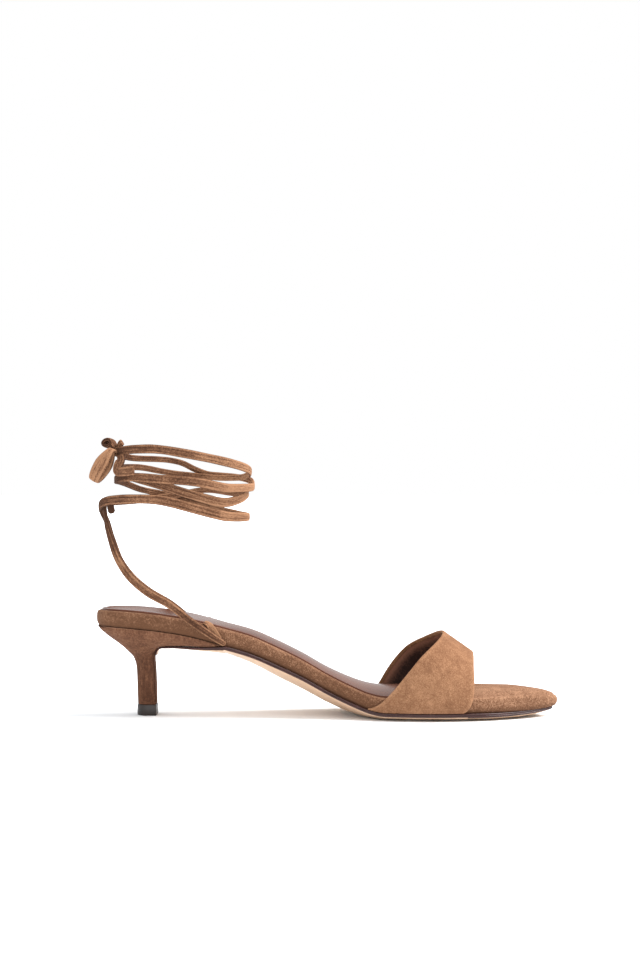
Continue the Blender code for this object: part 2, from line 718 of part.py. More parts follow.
def make_strap(name, path, facing, share, width=STRAP_WIDTH, thick=STRAP_THICK):
    """A flat strap with rounded edges along a path, its face turned to the given directions."""
    tangent = np.gradient(path, axis=0)
    tangent /= np.linalg.norm(tangent, axis=1, keepdims=True)
    wide = np.cross(facing, tangent)
    wide /= np.linalg.norm(wide, axis=1, keepdims=True)
    face = np.cross(tangent, wide)
    builder = bmesh.new()
    rings = []
    for i in range(len(path)):
        ring = []
        for angle in 2 * np.pi * (np.arange(STRAP_CORNERS) + 0.5) / STRAP_CORNERS:
            c, s = np.cos(angle), np.sin(angle)
            reach = np.sign(c) * np.sqrt(abs(c)) * share[i] * width / 2
            depth = np.sign(s) * np.sqrt(abs(s)) * thick / 2
            ring.append(path[i] + wide[i] * reach + face[i] * depth)
        rings.append(add_points(builder, ring))
    for first, second in zip(rings, rings[1:]):
        bridge(builder, first, second)
    add_face(builder, rings[0])
    add_face(builder, rings[-1])
    return new_object(name, builder, SUEDE)


def around(turn, height, layer):
    """Place on the ankle oval at a turn, 0 in front, 90 at the inner side, 180 behind, and its facing."""
    share = np.clip((height - OVAL_LOW) / (OVAL_HIGH - OVAL_LOW), 0, 1)
    back = OVAL_BACK_LOW + (OVAL_BACK_HIGH - OVAL_BACK_LOW) * share**2 * (3 - 2 * share)
    reach = (OVAL_FRONT - back) / 2
    angle = np.radians(turn)
    facing = np.array([np.cos(angle) / reach, -np.sin(angle) / OVAL_WIDE])
    facing /= np.linalg.norm(facing)
    place = np.array([back + reach * (1 + np.cos(angle)), -OVAL_WIDE * np.sin(angle)])
    return place + layer * facing, facing


def gathered(turn, height):
    """Share of the strap's width at a turn of the oval: narrower on the outer side and higher up."""
    inner_side = (1 + np.sin(np.radians(turn))) / 2
    side = GATHER_OUTER_SIDE + (1 - GATHER_OUTER_SIDE) * inner_side**2 * (3 - 2 * inner_side)
    high = np.clip((height - GATHER_HIGH_FROM) / (GATHER_HIGH_TO - GATHER_HIGH_FROM), 0, 1)
    return float(side * (1 - (1 - GATHER_HIGH) * high))


def riser_points(sign):
    """The tie from its slot up to the crossing: the outer one lies a little further back and lower."""
    points, facing = [], []
    for row in RISER:
        share = row.side / RISER[0].side if sign > 0 else 0.0
        station = row.station - OUTER_LAG * share
        y = sign * row.side + float(centre(station))
        points.append((station, y, row.height - OUTER_SAG * share * (station < RISER[1].station)))
        angle = np.radians(row.facing)
        facing.append((np.cos(angle), sign * np.sin(angle), 0.0, row.share))
    return points, facing


def make_tie(name, folds, sign):
    """One ankle tie. sign -1 rises on the inner side and turns first to the outer side."""
    points, facing = riser_points(sign)
    turns = [row.turned for row in folds]
    for turned in np.linspace(0, turns[-1], round(turns[-1] / FOLD_STEP)):
        height = float(smooth(turns, [row.height for row in folds], turned))
        layer = float(smooth(turns, [row.layer for row in folds], turned))
        place, out = around(180 - sign * turned, height, layer)
        points.append((*place, height))
        facing.append((*out, 0.0, gathered(180 - sign * turned, height)))
    return make_strap(name, *even_path(points, facing, TIE_SPACING))


def make_anchor(name, sign):
    """Short strap from the insole's edge over the footbed's side to the tie's slot."""
    points, facing = [], []
    for row in ANCHOR:
        station = row.station - (OUTER_LAG if sign > 0 else 0.0)
        edge = sign * float(half_width(station)) + float(centre(station))
        height = float(bed(np.array(station), np.array(float(sign)))) + row.over
        points.append((station, edge + sign * row.side, height))
        facing.append((0.0, float(sign), ANCHOR_LEAN if row.over > 0 else 0.0, row.share))
    return make_strap(name, *even_path(points, facing, ANCHOR_SPACING), ANCHOR_WIDTH, ANCHOR_THICK)


def knot_place():
    place, facing = around(KNOT_TURN, KNOT_HEIGHT, KNOT_OUT)
    return np.array([*place, KNOT_HEIGHT]), np.array([*facing, 0.0])


def make_knot():
    """Pulled-tight knot, a rounded block."""
    middle, out = knot_place()
    along = np.cross((0.0, 0.0, 1.0), out)
    builder = bmesh.new()
    rings = []
    power = 2 / KNOT_FULLNESS
    for level in np.linspace(-KNOT_END, KNOT_END, KNOT_LEVELS):
        girth = (1 - abs(level) ** KNOT_FULLNESS) ** (1 / KNOT_FULLNESS)
        ring = []
        for angle in np.linspace(0, 2 * np.pi, KNOT_CORNERS, endpoint=False):
            c, s = np.cos(angle), np.sin(angle)
            reach = np.sign(c) * abs(c) ** power * girth * KNOT_DEEP / 2
            rise = np.sign(s) * abs(s) ** power * girth * KNOT_TALL / 2
            ring.append(middle + along * level * KNOT_LONG / 2 + out * reach + np.array([0, 0, rise]))
        rings.append(add_points(builder, ring))
    for first, second in zip(rings, rings[1:]):
        bridge(builder, first, second)
    add_face(builder, rings[0])
    add_face(builder, rings[-1])
    return new_object("bow_knot", builder, SUEDE)


def make_loop(row):
    """Bow loop: a strap that leaves the knot, turns back at its tip and returns beside itself."""
    middle, _ = knot_place()
    along = np.array(row.along) / np.linalg.norm(row.along)
    opening = np.array(row.open) - np.dot(row.open, along) * along
    opening /= np.linalg.norm(opening)
    angles = np.linspace(-LOOP_SPREAD * np.pi, LOOP_SPREAD * np.pi, LOOP_STEPS)
    reach = row.length * (1 + np.cos(angles)) / 2
    swell = row.opening * np.sin(angles)
    start = middle + np.array(row.start)
    path = start + reach[:, None] * along + swell[:, None] * opening / 2
    facing = np.gradient(path, axis=0)
    facing = np.cross(facing, np.cross(along, opening))
    share = smooth([0.0, 0.5, 1.0], [row.neck, row.belly, row.tip], reach / row.length)
    return make_strap(row.name, path, facing, share)


def make_end(name, rows, share):
    """A loose end of the tie below or above the knot."""
    points = [(row.station, row.side, row.height) for row in rows]
    return make_strap(name, *even_path(points, [(*END_FACING, share)] * len(points), END_SPACING))


def main():
    for existing in list(bpy.data.objects):
        bpy.data.objects.remove(existing)
    sandal = bpy.data.collections.new("ankle_tie_sandal")
    bpy.context.scene.collection.children.link(sandal)
    make_outsole()
    make_footbed()
    make_insole()
    make_vamp()
    make_heel_block()
    make_heel_tip()
    make_tie("tie_inner", INNER_FOLDS, -1)
    make_tie("tie_outer", OUTER_FOLDS, 1)
    make_anchor("anchor_inner", -1)
    make_anchor("anchor_outer", 1)
    make_knot()
    for row in LOOPS:
        make_loop(row)
    make_end("tie_end_long", LONG_END, 1.0)
    make_end("tie_end_short", SHORT_END, GATHER_SHORT_END)


main()
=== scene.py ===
"""Left kitten-heel sandal: suede, leather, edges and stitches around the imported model.

Metres, +Z up, toe along +X, outer side of the foot +Y. Tables are in millimetres, with stations
measured forward from the back of the heel. Those for the main shapes repeat the part's source. Here the
ties and anchors are tucked in closer at the sole, and each loose end has one more row at the knot.
"""

from collections import namedtuple

import bmesh
import bpy
import numpy as np
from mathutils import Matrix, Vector


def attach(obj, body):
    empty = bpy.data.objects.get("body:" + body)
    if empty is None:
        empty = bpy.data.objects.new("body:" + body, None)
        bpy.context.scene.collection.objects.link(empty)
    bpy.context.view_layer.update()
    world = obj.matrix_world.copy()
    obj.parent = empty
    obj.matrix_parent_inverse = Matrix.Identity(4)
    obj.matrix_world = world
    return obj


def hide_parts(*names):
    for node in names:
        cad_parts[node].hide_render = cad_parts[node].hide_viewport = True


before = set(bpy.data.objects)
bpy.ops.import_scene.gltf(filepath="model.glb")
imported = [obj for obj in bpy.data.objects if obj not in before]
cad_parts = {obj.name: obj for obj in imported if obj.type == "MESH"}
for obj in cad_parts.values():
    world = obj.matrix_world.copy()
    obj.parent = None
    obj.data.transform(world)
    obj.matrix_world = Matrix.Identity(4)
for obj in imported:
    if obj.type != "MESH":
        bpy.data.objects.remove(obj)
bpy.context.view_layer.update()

MM = 0.001
SMALL = 1e-6
UP = np.array([0.0, 0.0, 1.0])
# Distance in mm below which points are joined, that of faces too thin to keep, and, in degrees, the
# angle above which an edge stays sharp
WELD = 0.004
SLIVER = 0.001
SHARP_ANGLE = 60.0


def table(kind, *rows):
    """Rows of plain values as named ones."""
    return [kind(*row) for row in rows]


# Sizes, with the gap between stacked pieces and the least step before a straight end
LENGTH = 245.0
GAP = 0.3
LAST_STEP = 1.0
OUTSOLE = 2.1
OUTSOLE_PROUD = 0.8
OUTSOLE_TOE_INSET = 2.4
OUTSOLE_TOE_FROM = 205.0
TOE_SKIVE = 0.45
INSOLE = 1.0
INSOLE_INSET = 2.8
INSOLE_END = 188.0
VAMP_WALL = 1.7
STRAP_WIDTH = 5.3
STRAP_THICK = 1.9

# Footbed and sole, a row for each section: half width, shift to the outer side, height of the inner
# seam and of the side above it, hang of the underside and its level share, fall to the outer edge,
# and hollow on top
Section = namedtuple("Section", "station half centre edge side drop flat tilt dish")
SECTIONS = table(
    Section,
    (0, 0.0, 0.0, 48.2, 8.0, 0.0, 0.3, 0.0, 0.5),
    (5, 16.0, 0.0, 48.2, 8.2, 0.0, 0.3, 0.0, 0.9),
    (12, 21.5, 0.0, 48.0, 8.3, 0.0, 0.3, 0.0, 1.1),
    (24, 25.2, 0.0, 47.2, 8.4, 0.0, 0.3, 0.0, 1.2),
    (36, 26.0, 0.1, 45.9, 8.3, 0.0, 0.3, 0.0, 1.2),
    (50, 25.8, 0.4, 43.5, 8.4, 0.7, 0.2, 0.1, 1.1),
    (69, 24.8, 1.2, 38.3, 8.8, 2.6, 0.1, 0.3, 0.9),
    (83, 24.2, 1.9, 34.0, 9.0, 4.0, 0.0, 0.5, 0.8),
    (96, 24.3, 2.4, 28.4, 8.9, 5.2, 0.0, 0.7, 0.7),
    (110, 25.6, 2.8, 21.9, 8.5, 5.6, 0.0, 1.0, 0.6),
    (123, 27.6, 3.0, 14.9, 8.1, 5.2, 0.1, 1.3, 0.5),
    (136, 30.7, 2.6, 8.9, 7.9, 4.4, 0.2, 1.0, 0.4),
    (145, 33.0, 2.2, 5.5, 7.8, 2.8, 0.4, 0.3, 0.3),
    (154, 35.1, 1.7, 4.2, 7.7, 1.8, 0.6, 0.0, 0.2),
    (171, 37.4, 0.7, 4.2, 7.7, 1.8, 0.6, 0.0, 0.0),
    (180, 37.0, 0.0, 4.2, 7.8, 1.8, 0.6, 0.0, 0.0),
    (193, 34.7, -1.1, 4.2, 8.1, 1.8, 0.6, 0.0, -0.4),
    (206, 30.4, -2.3, 4.2, 8.4, 1.8, 0.6, 0.0, -0.9),
    (218, 24.4, -3.3, 4.3, 8.4, 1.6, 0.6, 0.0, -0.9),
    (230, 17.4, -4.2, 4.8, 7.8, 1.2, 0.6, 0.0, -0.7),
    (239, 10.6, -4.8, 5.5, 6.6, 0.5, 0.6, 0.0, -0.4),
    (LENGTH, 0.0, -5.2, 6.0, 5.0, 0.0, 0.6, 0.0, 0.0),
)
HEEL_ROUND = 20.0
TOE_ROUND = 34.0
ROUND_STEPS = 22
MIDDLE_STEPS = 110
COLUMNS = np.sin(np.linspace(-np.pi / 2, np.pi / 2, 33))

# Footbed's side, from the seam up: inset in mm, and rise as a share of its height
SideRow = namedtuple("SideRow", "inset rise")
FOOTBED_SIDE = table(SideRow, (1.2, 0.0), (0.3, 0.2), (0.0, 0.5), (0.15, 0.78), (0.7, 0.94), (2.2, 1.0))
FOOTBED_SIDE_STEPS = 14
TOE_PAD = 2.3
TOE_PAD_FROM = 170.0
TOE_PAD_TO = 194.0
TOE_PAD_HALF = 24.0

# Top edge of the leather sock: inset beyond its outline and rise above the footbed, in mm
SockRow = namedtuple("SockRow", "inset rise")
SOCK_EDGE = table(
    SockRow,
    (0.0, 0.0), (0.0, 0.55), (0.12, 0.82), (0.4, 0.97), (0.8, 1.0), (1.35, 0.99),
    (1.5, 0.92), (1.6, 0.9), (1.7, 0.92), (1.85, 0.99), (2.5, 1.02),
)
SOCK_LOW = -0.1
SOCK_CROWN = 0.075
SOCK_CROWN_FROM = 15.0
SOCK_CROWN_TO = 100.0
STITCH_INSET = 1.6
STITCH_ACROSS = 0.95
STITCH_RISE = 0.88
STITCH_PITCH = 2.4
STITCH_LONG = 1.7
STITCH_THICK = 0.5
STITCH_PROBE = 0.7
STITCH_SIDES = 6
# A stitch along its length: place and girth, as shares
STITCH_RINGS = ((-0.5, 0.25), (-0.36, 0.85), (0.0, 1.0), (0.36, 0.85), (0.5, 0.25))

# Outsole behind the waist: its turn down the heel's breast, and its top and thickness under the wing
WING_TIP = 69.0
BREAST = 36.0
BREAST_TURN = 4.4
BREAST_DROP = 4.7
BREAST_HALF = 6.4
WING_SPREAD = 0.55
WING_STEPS = 36
BREAST_STEPS = 16
SkiveRow = namedtuple("SkiveRow", "station top thick")
SKIVE = table(
    SkiveRow,
    (BREAST, 37.2, 0.9), (43, 37.6, 1.0), (52, 37.4, 1.2), (60, 37.6, 1.6), (WING_TIP, 38.0, OUTSOLE),
)
# Edge of the outsole from its top to its underside: inset in mm and depth as a share of the edge
EdgeRow = namedtuple("EdgeRow", "inset depth look")
OUTSOLE_EDGE = table(
    EdgeRow,
    (0.45, -0.16, "edge"), (0.12, -0.04, "edge"), (0.0, 0.10, "edge"), (0.02, 0.24, "edge"),
    (0.24, 0.31, "edge"), (0.28, 0.35, "edge"), (0.20, 0.41, "edge"), (0.08, 0.50, "edge"),
    (0.01, 0.60, "edge"), (0.0, 0.72, "edge"), (0.04, 0.80, "edge"), (0.16, 0.90, "bare"),
    (0.36, 0.96, "bare"), (0.62, 0.99, "tan"), (0.95, 1.0, "tan"),
)
EDGE_BARE_TO = 196.0

# Vamp: stations of its back and front edges, by its reach over the foot from the inner side
VampRow = namedtuple("VampRow", "reach back front")
VAMP_EDGES = table(
    VampRow,
    (0.0, 143.6, 193.2), (0.05, 146.7, 194.9), (0.1, 151.5, 196.6), (0.18, 160.1, 198.5),
    (0.27, 169.8, 199.3), (0.36, 179.0, 199.7), (0.43, 183.4, 200.4), (0.5, 184.6, 200.8),
    (0.59, 181.6, 200.4), (0.65, 176.3, 199.8), (0.73, 165.4, 198.4), (0.81, 156.5, 196.2),
    (0.87, 151.6, 194.2), (1.0, 142.0, 187.0),
)
VAMP_PEAK = 44.6
VAMP_PEAK_STATION = 185.0
VAMP_SLOPE = -0.70
VAMP_FULLNESS = 2.15
VAMP_STAND_OFF = 2.6
VAMP_LIFT = 0.2
VAMP_TUCK = 1.4
VAMP_TUCK_HEIGHT = 4.0
VAMP_OVER_STEPS = 150
VAMP_ALONG_STEPS = 44
VAMP_RIM_STEPS = 5
VAMP_PROBE = 0.01
VAMP_BORDER = (0.0, 0.3, 0.7, 1.1, 1.3, 2.4)
VAMP_TURN_IN = 1.2
VAMP_TURN_STEP = 0.22
VAMP_RIM_WIDE = 2.0

# Heel, a row for each level: its back and front ends, half width, and heights at the back and front
HeelRow = namedtuple("HeelRow", "back front half low high")
HEEL_ROWS = table(
    HeelRow,
    (21.9, 31.9, 6.3, 6.0, 6.0), (21.6, 31.7, 6.6, 15.5, 15.5), (21.3, 31.3, 7.0, 23.5, 24.5),
    (20.8, 30.9, 7.7, 27.5, 30.0), (19.7, 31.2, 8.9, 30.6, 33.0), (18.6, 31.7, 9.9, 32.2, 34.4),
    (16.8, 32.6, 11.6, 33.9, 35.7), (14.4, 34.3, 13.8, 36.2, 36.9), (11.4, 37.2, 16.4, 38.6, 37.4),
    (8.0, 42.0, 19.3, 41.0, 37.8), (4.8, 48.5, 21.9, 43.4, 37.9), (2.0, 57.0, 24.0, 45.8, 37.9),
    (0.9, 64.0, 24.9, 47.2, 38.3),
)
HEEL_LEVELS = 64
HEEL_SEAT_INSET = 0.5
HEEL_SEAT_FRONT = 67.5
HEEL_ROUND_SHARE = 0.55
HEEL_LINE_BEND = 2.3
HEEL_SIDE_STEPS = 34
HEEL_CORNER = 0.8
HEEL_CORNER_STEPS = 3
HEEL_CORNER_LEVELS = HEEL_LEVELS * 2 // 3
# Top lift: height and how far it stands out beyond the heel
TIP_RINGS = ((0.0, -0.15), (0.12, 0.12), (0.4, 0.3), (5.3, 0.3), (5.7, 0.0))
TIP_SHARP_ANGLE = 45.0

# Ankle ties: an oval round the ankle, whose back moves in above the crossing, and a row for each fold
# of a tie, with the angle turned from the crossing, its height and how far outside the oval it lies
OVAL_FRONT = 81.7
OVAL_BACK_LOW = 3.2
OVAL_BACK_HIGH = 11.4
OVAL_LOW = 114.0
OVAL_HIGH = 123.0
OVAL_WIDE = 28.5
FoldRow = namedtuple("FoldRow", "turned height layer")
INNER_FOLDS = table(
    FoldRow,
    (0, 112.9, -1.2), (57, 114.2, -1.3), (80, 116.2, -1.3), (110, 119.7, -1.3), (148, 117.8, -1.3),
    (184, 117.7, -1.5), (203, 115.5, -1.5), (226, 113.4, -1.3), (253, 116.8, -1.3), (303, 124.6, -1.3),
    (340, 128.8, -1.3), (372, 131.6, -1.3), (398, 132.0, -1.3), (430, 129.5, -1.3), (458, 127.3, -1.3),
    (490, 126.3, -1.5), (526, 127.0, -1.4), (545, 129.4, 0.2), (563, 131.5, 0.6), (600, 135.8, 0.2),
    (632, 139.5, 0.0), (655, 141.3, 0.0), (672, 141.4, 0.0), (700, 140.6, 0.3),
)
OUTER_FOLDS = table(
    FoldRow,
    (0, 110.2, 1.4), (24, 113.6, 1.3), (60, 115.2, 0.6), (82, 114.4, 0.0), (112, 109.2, -0.4),
    (136, 105.9, -0.8), (180, 105.4, -1.0), (231, 108.3, 0.4), (268, 114.7, 1.7), (288, 117.7, 2.3),
    (308, 119.8, 2.3), (345, 124.6, 1.5), (365, 125.2, 1.3), (399, 126.7, 1.4), (435, 125.7, 1.4),
    (463, 124.1, 1.4), (496, 120.9, 1.3), (538, 121.5, 1.5), (560, 125.0, 1.9), (594, 127.3, 1.6),
    (616, 128.9, 1.4), (640, 135.4, 1.3), (688, 137.4, 1.0), (724, 140.2, 0.5),
)
FOLD_STEP = 11.0
GATHER_OUTER_SIDE = 0.68
GATHER_HIGH = 0.9
GATHER_HIGH_FROM = 112.0
GATHER_HIGH_TO = 120.0
# Rise of a tie from the sole to the crossing, with the angle that it faces and its share of the width
RiserRow = namedtuple("RiserRow", "station side height facing share")
RISER = table(
    RiserRow,
    (69.5, 25.5, 39.2, 90, 0.58), (61.6, 27.9, 44.6, 90, 0.68), (51.2, 28.9, 52.0, 90, 0.74),
    (40.8, 28.3, 60.0, 92, 0.76), (29.2, 26.4, 66.6, 98, 0.78), (19.6, 22.8, 74.2, 112, 0.80),
    (13.4, 18.6, 82.4, 126, 0.82), (8.3, 12.6, 94.4, 145, 0.84), (5.6, 7.4, 103.4, 160, 0.84),
)
RISER_WIDE = 27.4
OUTER_LAG = 3.6
OUTER_SAG = 2.4
TIE_SPACING = 0.9
# Anchor strap: out from the footbed's side and over its top, in mm, and its share of the width
ANCHOR_WIDTH = 3.6
ANCHOR_THICK = 1.0
ANCHOR_LEAN = 1.2
ANCHOR_SINK = 1.1
AnchorRow = namedtuple("AnchorRow", "station side over share")
ANCHOR = table(
    AnchorRow,
    (58.6, -1.2, 0.75, 0.7), (60.4, 0.1, 0.6, 0.9), (62.6, 0.8, -1.1, 1.0), (64.9, 0.65, -3.7, 0.9),
    (67.2, 0.35, -6.3, 0.6),
)

# Bow: the knot's place and size, its wound band in half turns, and its core
KNOT_TURN = 168.0
KNOT_HEIGHT = 140.1
KNOT_OUT = 0.5
KNOT_LONG = 6.4
KNOT_TALL = 5.4
KNOT_DEEP = 5.4
KNOT_BAND_FROM = -0.55
KNOT_BAND_TO = 1.75
KNOT_BAND_STEPS = 60
KNOT_BAND_IN = 0.7
KNOT_BAND_LIFT = 1.1
KNOT_BAND_GROWTH = 0.10
KNOT_BAND_WIDTH = STRAP_WIDTH * 0.86
KNOT_BAND_THICK = 1.3
KNOT_CORE_RINGS = 9
KNOT_CORE_SIDES = 20
KNOT_CORE_LONG = KNOT_LONG * 0.45
KNOT_CORE_LEAST = 0.02
LoopRow = namedtuple("LoopRow", "node start along open length opening neck belly tip seed tone")
LOOPS = table(
    LoopRow,
    ("bow_loop_large", (-2.9, -4.7, 0.9), (-0.49, -0.1, -0.87), (-0.3, -0.93, 0.2),
     18.2, 6.0, 0.7, 1.45, 1.2, 41, 0.4),
    ("bow_loop_small", (-2.8, 0.3, 4.6), (-0.75, 0.6, 0.0), (0.2, 0.1, 0.97),
     5.8, 3.6, 0.9, 0.9, 0.9, 44, -0.2),
)
LOOP_STEPS = 72
LOOP_SPREAD = 0.93
# Loose ends, by station, side and height. The tab is a turned-under bit of the outer tie, which hangs
# below the crossing at the back.
LONG_END = (
    (13.6, -9.6, 138.9), (13.8, -14.4, 135.4), (12.4, -15.2, 132.4), (12.4, -16.8, 130.0),
    (16.2, -21.4, 129.5), (21.6, -25.8, 130.0),
)
SHORT_END = ((12.2, -6.0, 141.2), (12.8, -6.7, 143.5), (13.2, -7.2, 144.4), (14.0, -7.9, 145.2))
TAB = ((7.9, -13.2, 115.2), (8.2, -12.8, 112.5), (8.7, -12.5, 109.6), (9.2, -12.4, 107.4))
SHORT_END_SHARE = 0.65
TAB_SHARE = 0.78
END_SPACING = 0.6
END_FACING = (-0.5, -1.0, 0.0)

# Straps: half of the section by share of the half width, its pressed line, and the slow wander of its
# width, place, cupping and tone along it, with the steps between turns
STRAP_SHARES = np.array(
    [0.0, 0.14, 0.26, 0.33, 0.37, 0.40, 0.43, 0.47, 0.54, 0.66, 0.78, 0.87, 0.94, 0.98, 1.0]
)
STRAP_FULLNESS = 3.2
STRAP_TIP = 1.5
STRAP_END_LEAST = 0.06
CREASE_AT = 0.38
CREASE_WIDE = 0.06
CREASE_DEEP = 0.10
Wander = namedtuple("Wander", "step size")
SWELL = Wander(9, 0.02)
SWAY = Wander(14, 0.10)
CUP = Wander(11, 0.12)
SHADE = Wander(8, 0.07)
CUP_LEVEL = 0.4
LAY_APART = 40.0

# Tones that are added to a material's own: darker below 0, paler above
# Painted shade in a strap's pressed line, a painted highlight along its rounded edges, and painted shade
# at its outer lip
CREASE_PAINTED_SHADE = -0.22
STRAP_EDGE_PAINTED_HIGHLIGHT = 0.32
STRAP_EDGE_AT = 0.8
STRAP_EDGE_WIDE = 0.12
STRAP_RIM_PAINTED_SHADE = -0.45
STRAP_RIM_FROM = 0.9
# Painted shade where a wound tie faces back, away from the key light, and painted light where it faces
# forward
BACK_FACING_PAINTED_SHADE = -1.0
BACK_FACING_SHADE_POWER = 6
FRONT_FACING_PAINTED_LIGHT = 0.45
# Painted shade on the tab, which hangs in the shadow behind the crossing
TAB_PAINTED_SHADE = -0.7
ANCHOR_TONE = 0.3
STEM_TONE = -0.25
STEM_TONE_FROM = 36.0
STEM_TONE_TO = 26.0
# Vamp lining: painted light near its back edge, fading out over so many mm into painted shade deeper
# inside
LINING_PAINTED_LIGHT = 0.75
LINING_PAINTED_SHADE = -0.3
LINING_LIGHT_FADE = 8.0
# Over the vamp's arch, painted shade on its crest and far side; and on its rims, a paler cut edge on the
# near side and painted shade on the far side
ArchTone = namedtuple("ArchTone", "reach tone rim")
ARCH_TONES = table(
    ArchTone,
    (0.0, -0.02, 0.2), (0.2, 0.05, 0.2), (0.34, -0.03, 0.2),
    (0.46, -0.15, 0.12), (0.62, -0.15, -0.2), (1.0, -0.05, -0.2),
)
# Up the footbed's side: painted shade in the seam, and a painted highlight along its top edge
SideTone = namedtuple("SideTone", "rise tone")
SIDE_PAINTED_LIGHT = table(
    SideTone, (0.0, -0.5), (0.15, -0.3), (0.45, 0.0), (0.75, 0.02), (0.93, 0.12), (1.0, 0.06)
)
# Along the footbed's side: painted shade, darker towards the heel and round station 130, fading out at the
# toe
LengthTone = namedtuple("LengthTone", "station tone")
LENGTH_PAINTED_SHADE = table(
    LengthTone,
    (0, -0.42), (55, -0.4), (85, -0.25), (110, -0.32), (130, -0.42), (150, -0.32), (178, -0.05),
    (LENGTH, -0.02),
)


def smooth(keys, values, at, limit=True):
    """Cubic curve through (keys, values), read at the given places, without overshoot if limited."""
    keys = np.asarray(keys, float)
    values = np.asarray(values, float)
    steps = np.diff(keys)
    slopes = np.diff(values) / steps
    tangents = np.concatenate([[slopes[0]], (slopes[1:] + slopes[:-1]) / 2, [slopes[-1]]])
    if limit:
        turning = slopes[1:] * slopes[:-1] <= 0
        least = np.minimum(np.abs(slopes[1:]), np.abs(slopes[:-1]))
        inner = np.clip(tangents[1:-1], -3 * least, 3 * least)
        tangents[1:-1] = np.where(turning, 0.0, inner)
    at = np.clip(np.asarray(at, float), keys[0], keys[-1])
    cell = np.clip(np.searchsorted(keys, at, side="right") - 1, 0, len(steps) - 1)
    t = (at - keys[cell]) / steps[cell]
    size = steps[cell]
    return (
        (2 * t**3 - 3 * t**2 + 1) * values[cell]
        + (t**3 - 2 * t**2 + t) * size * tangents[cell]
        + (3 * t**2 - 2 * t**3) * values[cell + 1]
        + (t**3 - t**2) * size * tangents[cell + 1]
    )


def column(rows, name, at, by="station"):
    """One column of a table, read smoothly along another."""
    return smooth([getattr(row, by) for row in rows], [getattr(row, name) for row in rows], at)


def refined(rows, steps):
    """A table with smooth rows between its own, in so many even steps."""
    keys = np.arange(len(rows))
    at = np.linspace(0, keys[-1], steps + 1)
    columns = [smooth(keys, values, at) for values in zip(*rows)]
    return table(type(rows[0]), *zip(*columns))


def portion(value, start, end):
    """Share of the way from the start to the end, held between 0 and 1."""
    return np.clip((value - start) / (end - start), 0, 1)


def ease(share):
    """A share with a soft start and end."""
    return share**2 * (3 - 2 * share)


def unit(vectors):
    """Vectors with the same direction and a length of 1."""
    return vectors / np.linalg.norm(vectors, axis=-1, keepdims=True)


def distances(path):
    """How far along a path each of its points lies."""
    return np.concatenate([[0], np.cumsum(np.linalg.norm(np.diff(path, axis=0), axis=1))])


def half_width(station):
    """Half width of the footbed. Squares are interpolated, which keeps heel and toe round."""
    squares = [row.half**2 for row in SECTIONS]
    return np.sqrt(np.maximum(smooth([row.station for row in SECTIONS], squares, station), 0.0))


def centre(station):
    return column(SECTIONS, "centre", station)


def camber(station, across):
    """How far the underside hangs below its edges."""
    level = column(SECTIONS, "flat", station)
    beyond = np.clip((np.abs(across) - level) / (1 - level), 0.0, 1.0)
    return column(SECTIONS, "drop", station) * (1 - beyond**2)


def lean(station, across):
    """How far the sole falls from its inner edge."""
    return column(SECTIONS, "tilt", station) * (1 + across) / 2


def seam(station, across):
    """Height of the footbed's underside."""
    return column(SECTIONS, "edge", station) - lean(station, across) - camber(station, across)


def bed(station, across):
    """Height of the footbed's top."""
    rise = column(SECTIONS, "edge", station) + column(SECTIONS, "side", station)
    return rise - lean(station, across) - column(SECTIONS, "dish", station) * (1 - across**2)


def toe_pad(station, across):
    """How much the wrapped padding stands up under the toes."""
    narrow = np.clip(half_width(station) / TOE_PAD_HALF, 0, 1)
    return TOE_PAD * ease(portion(station, TOE_PAD_FROM, TOE_PAD_TO)) * narrow * (1 - across**4)


def round_stations(start, end, steps):
    """Stations that crowd towards the start, as along a round nose."""
    angles = np.linspace(0, np.pi / 2, steps + 1)
    return start + (end - start) * (1 - np.cos(angles))


def all_stations():
    heel = round_stations(0.0, HEEL_ROUND, ROUND_STEPS)
    toe = round_stations(LENGTH, LENGTH - TOE_ROUND, ROUND_STEPS)[::-1]
    middle = np.linspace(HEEL_ROUND, LENGTH - TOE_ROUND, MIDDLE_STEPS)
    return np.concatenate([heel, middle[1:-1], toe])


def stations_to(end):
    """Stations from the heel's back to a straight end."""
    stations = all_stations()
    return np.append(stations[stations < end - LAST_STEP], end)


def plan(stations, inset, round_start=True, round_end=True):
    """Inner and outer plan outlines as (station, Y) rows, moved in from the footbed's own outline."""
    sides = []
    for sign in (-1, 1):
        points = np.stack([stations, centre(stations) + sign * half_width(stations)], axis=1)
        tangent = np.gradient(points, axis=0)
        if round_start:
            tangent[0] = (0, sign)
        if round_end:
            tangent[-1] = (0, -sign)
        tangent = unit(tangent)
        inward = -sign * np.stack([-tangent[:, 1], tangent[:, 0]], axis=1)
        sides.append(points + inset * inward)
    return sides


def between(inner, outer):
    """Grid of places across the sole from two outlines: (rows, columns, 2)."""
    share = ((COLUMNS + 1) / 2)[None, :, None]
    return inner[:, None, :] * (1 - share) + outer[:, None, :] * share


def plan_grid(stations, inset, **ends):
    return between(*plan(stations, inset, **ends))


def raised(grid, height):
    """The grid as 3D points, with the height read from a function of station and place across."""
    across = np.broadcast_to(COLUMNS, grid.shape[:2])
    heights = height(grid[:, :, 0], across)
    pointed = np.ptp(grid[:, :, 1], axis=1) < SMALL
    heights[pointed] = heights[pointed, :1]
    return np.dstack([grid, heights])


def level_grids(stations, levels, height, inset=0.0, **ends):
    """Grids of a body's levels, each with its own inset and rise."""
    grids = []
    for level in levels:
        grid = plan_grid(stations, inset + level.inset, **ends)
        grids.append(raised(grid, lambda s, across: height(s, across, level.rise)))
    return grids


def rim(grid):
    """The points round the edge of a grid, in the order that add_sheet gives its own."""
    return np.concatenate([grid[:, 0], grid[-1, 1:], grid[-2::-1, -1], grid[0, -2:0:-1]])


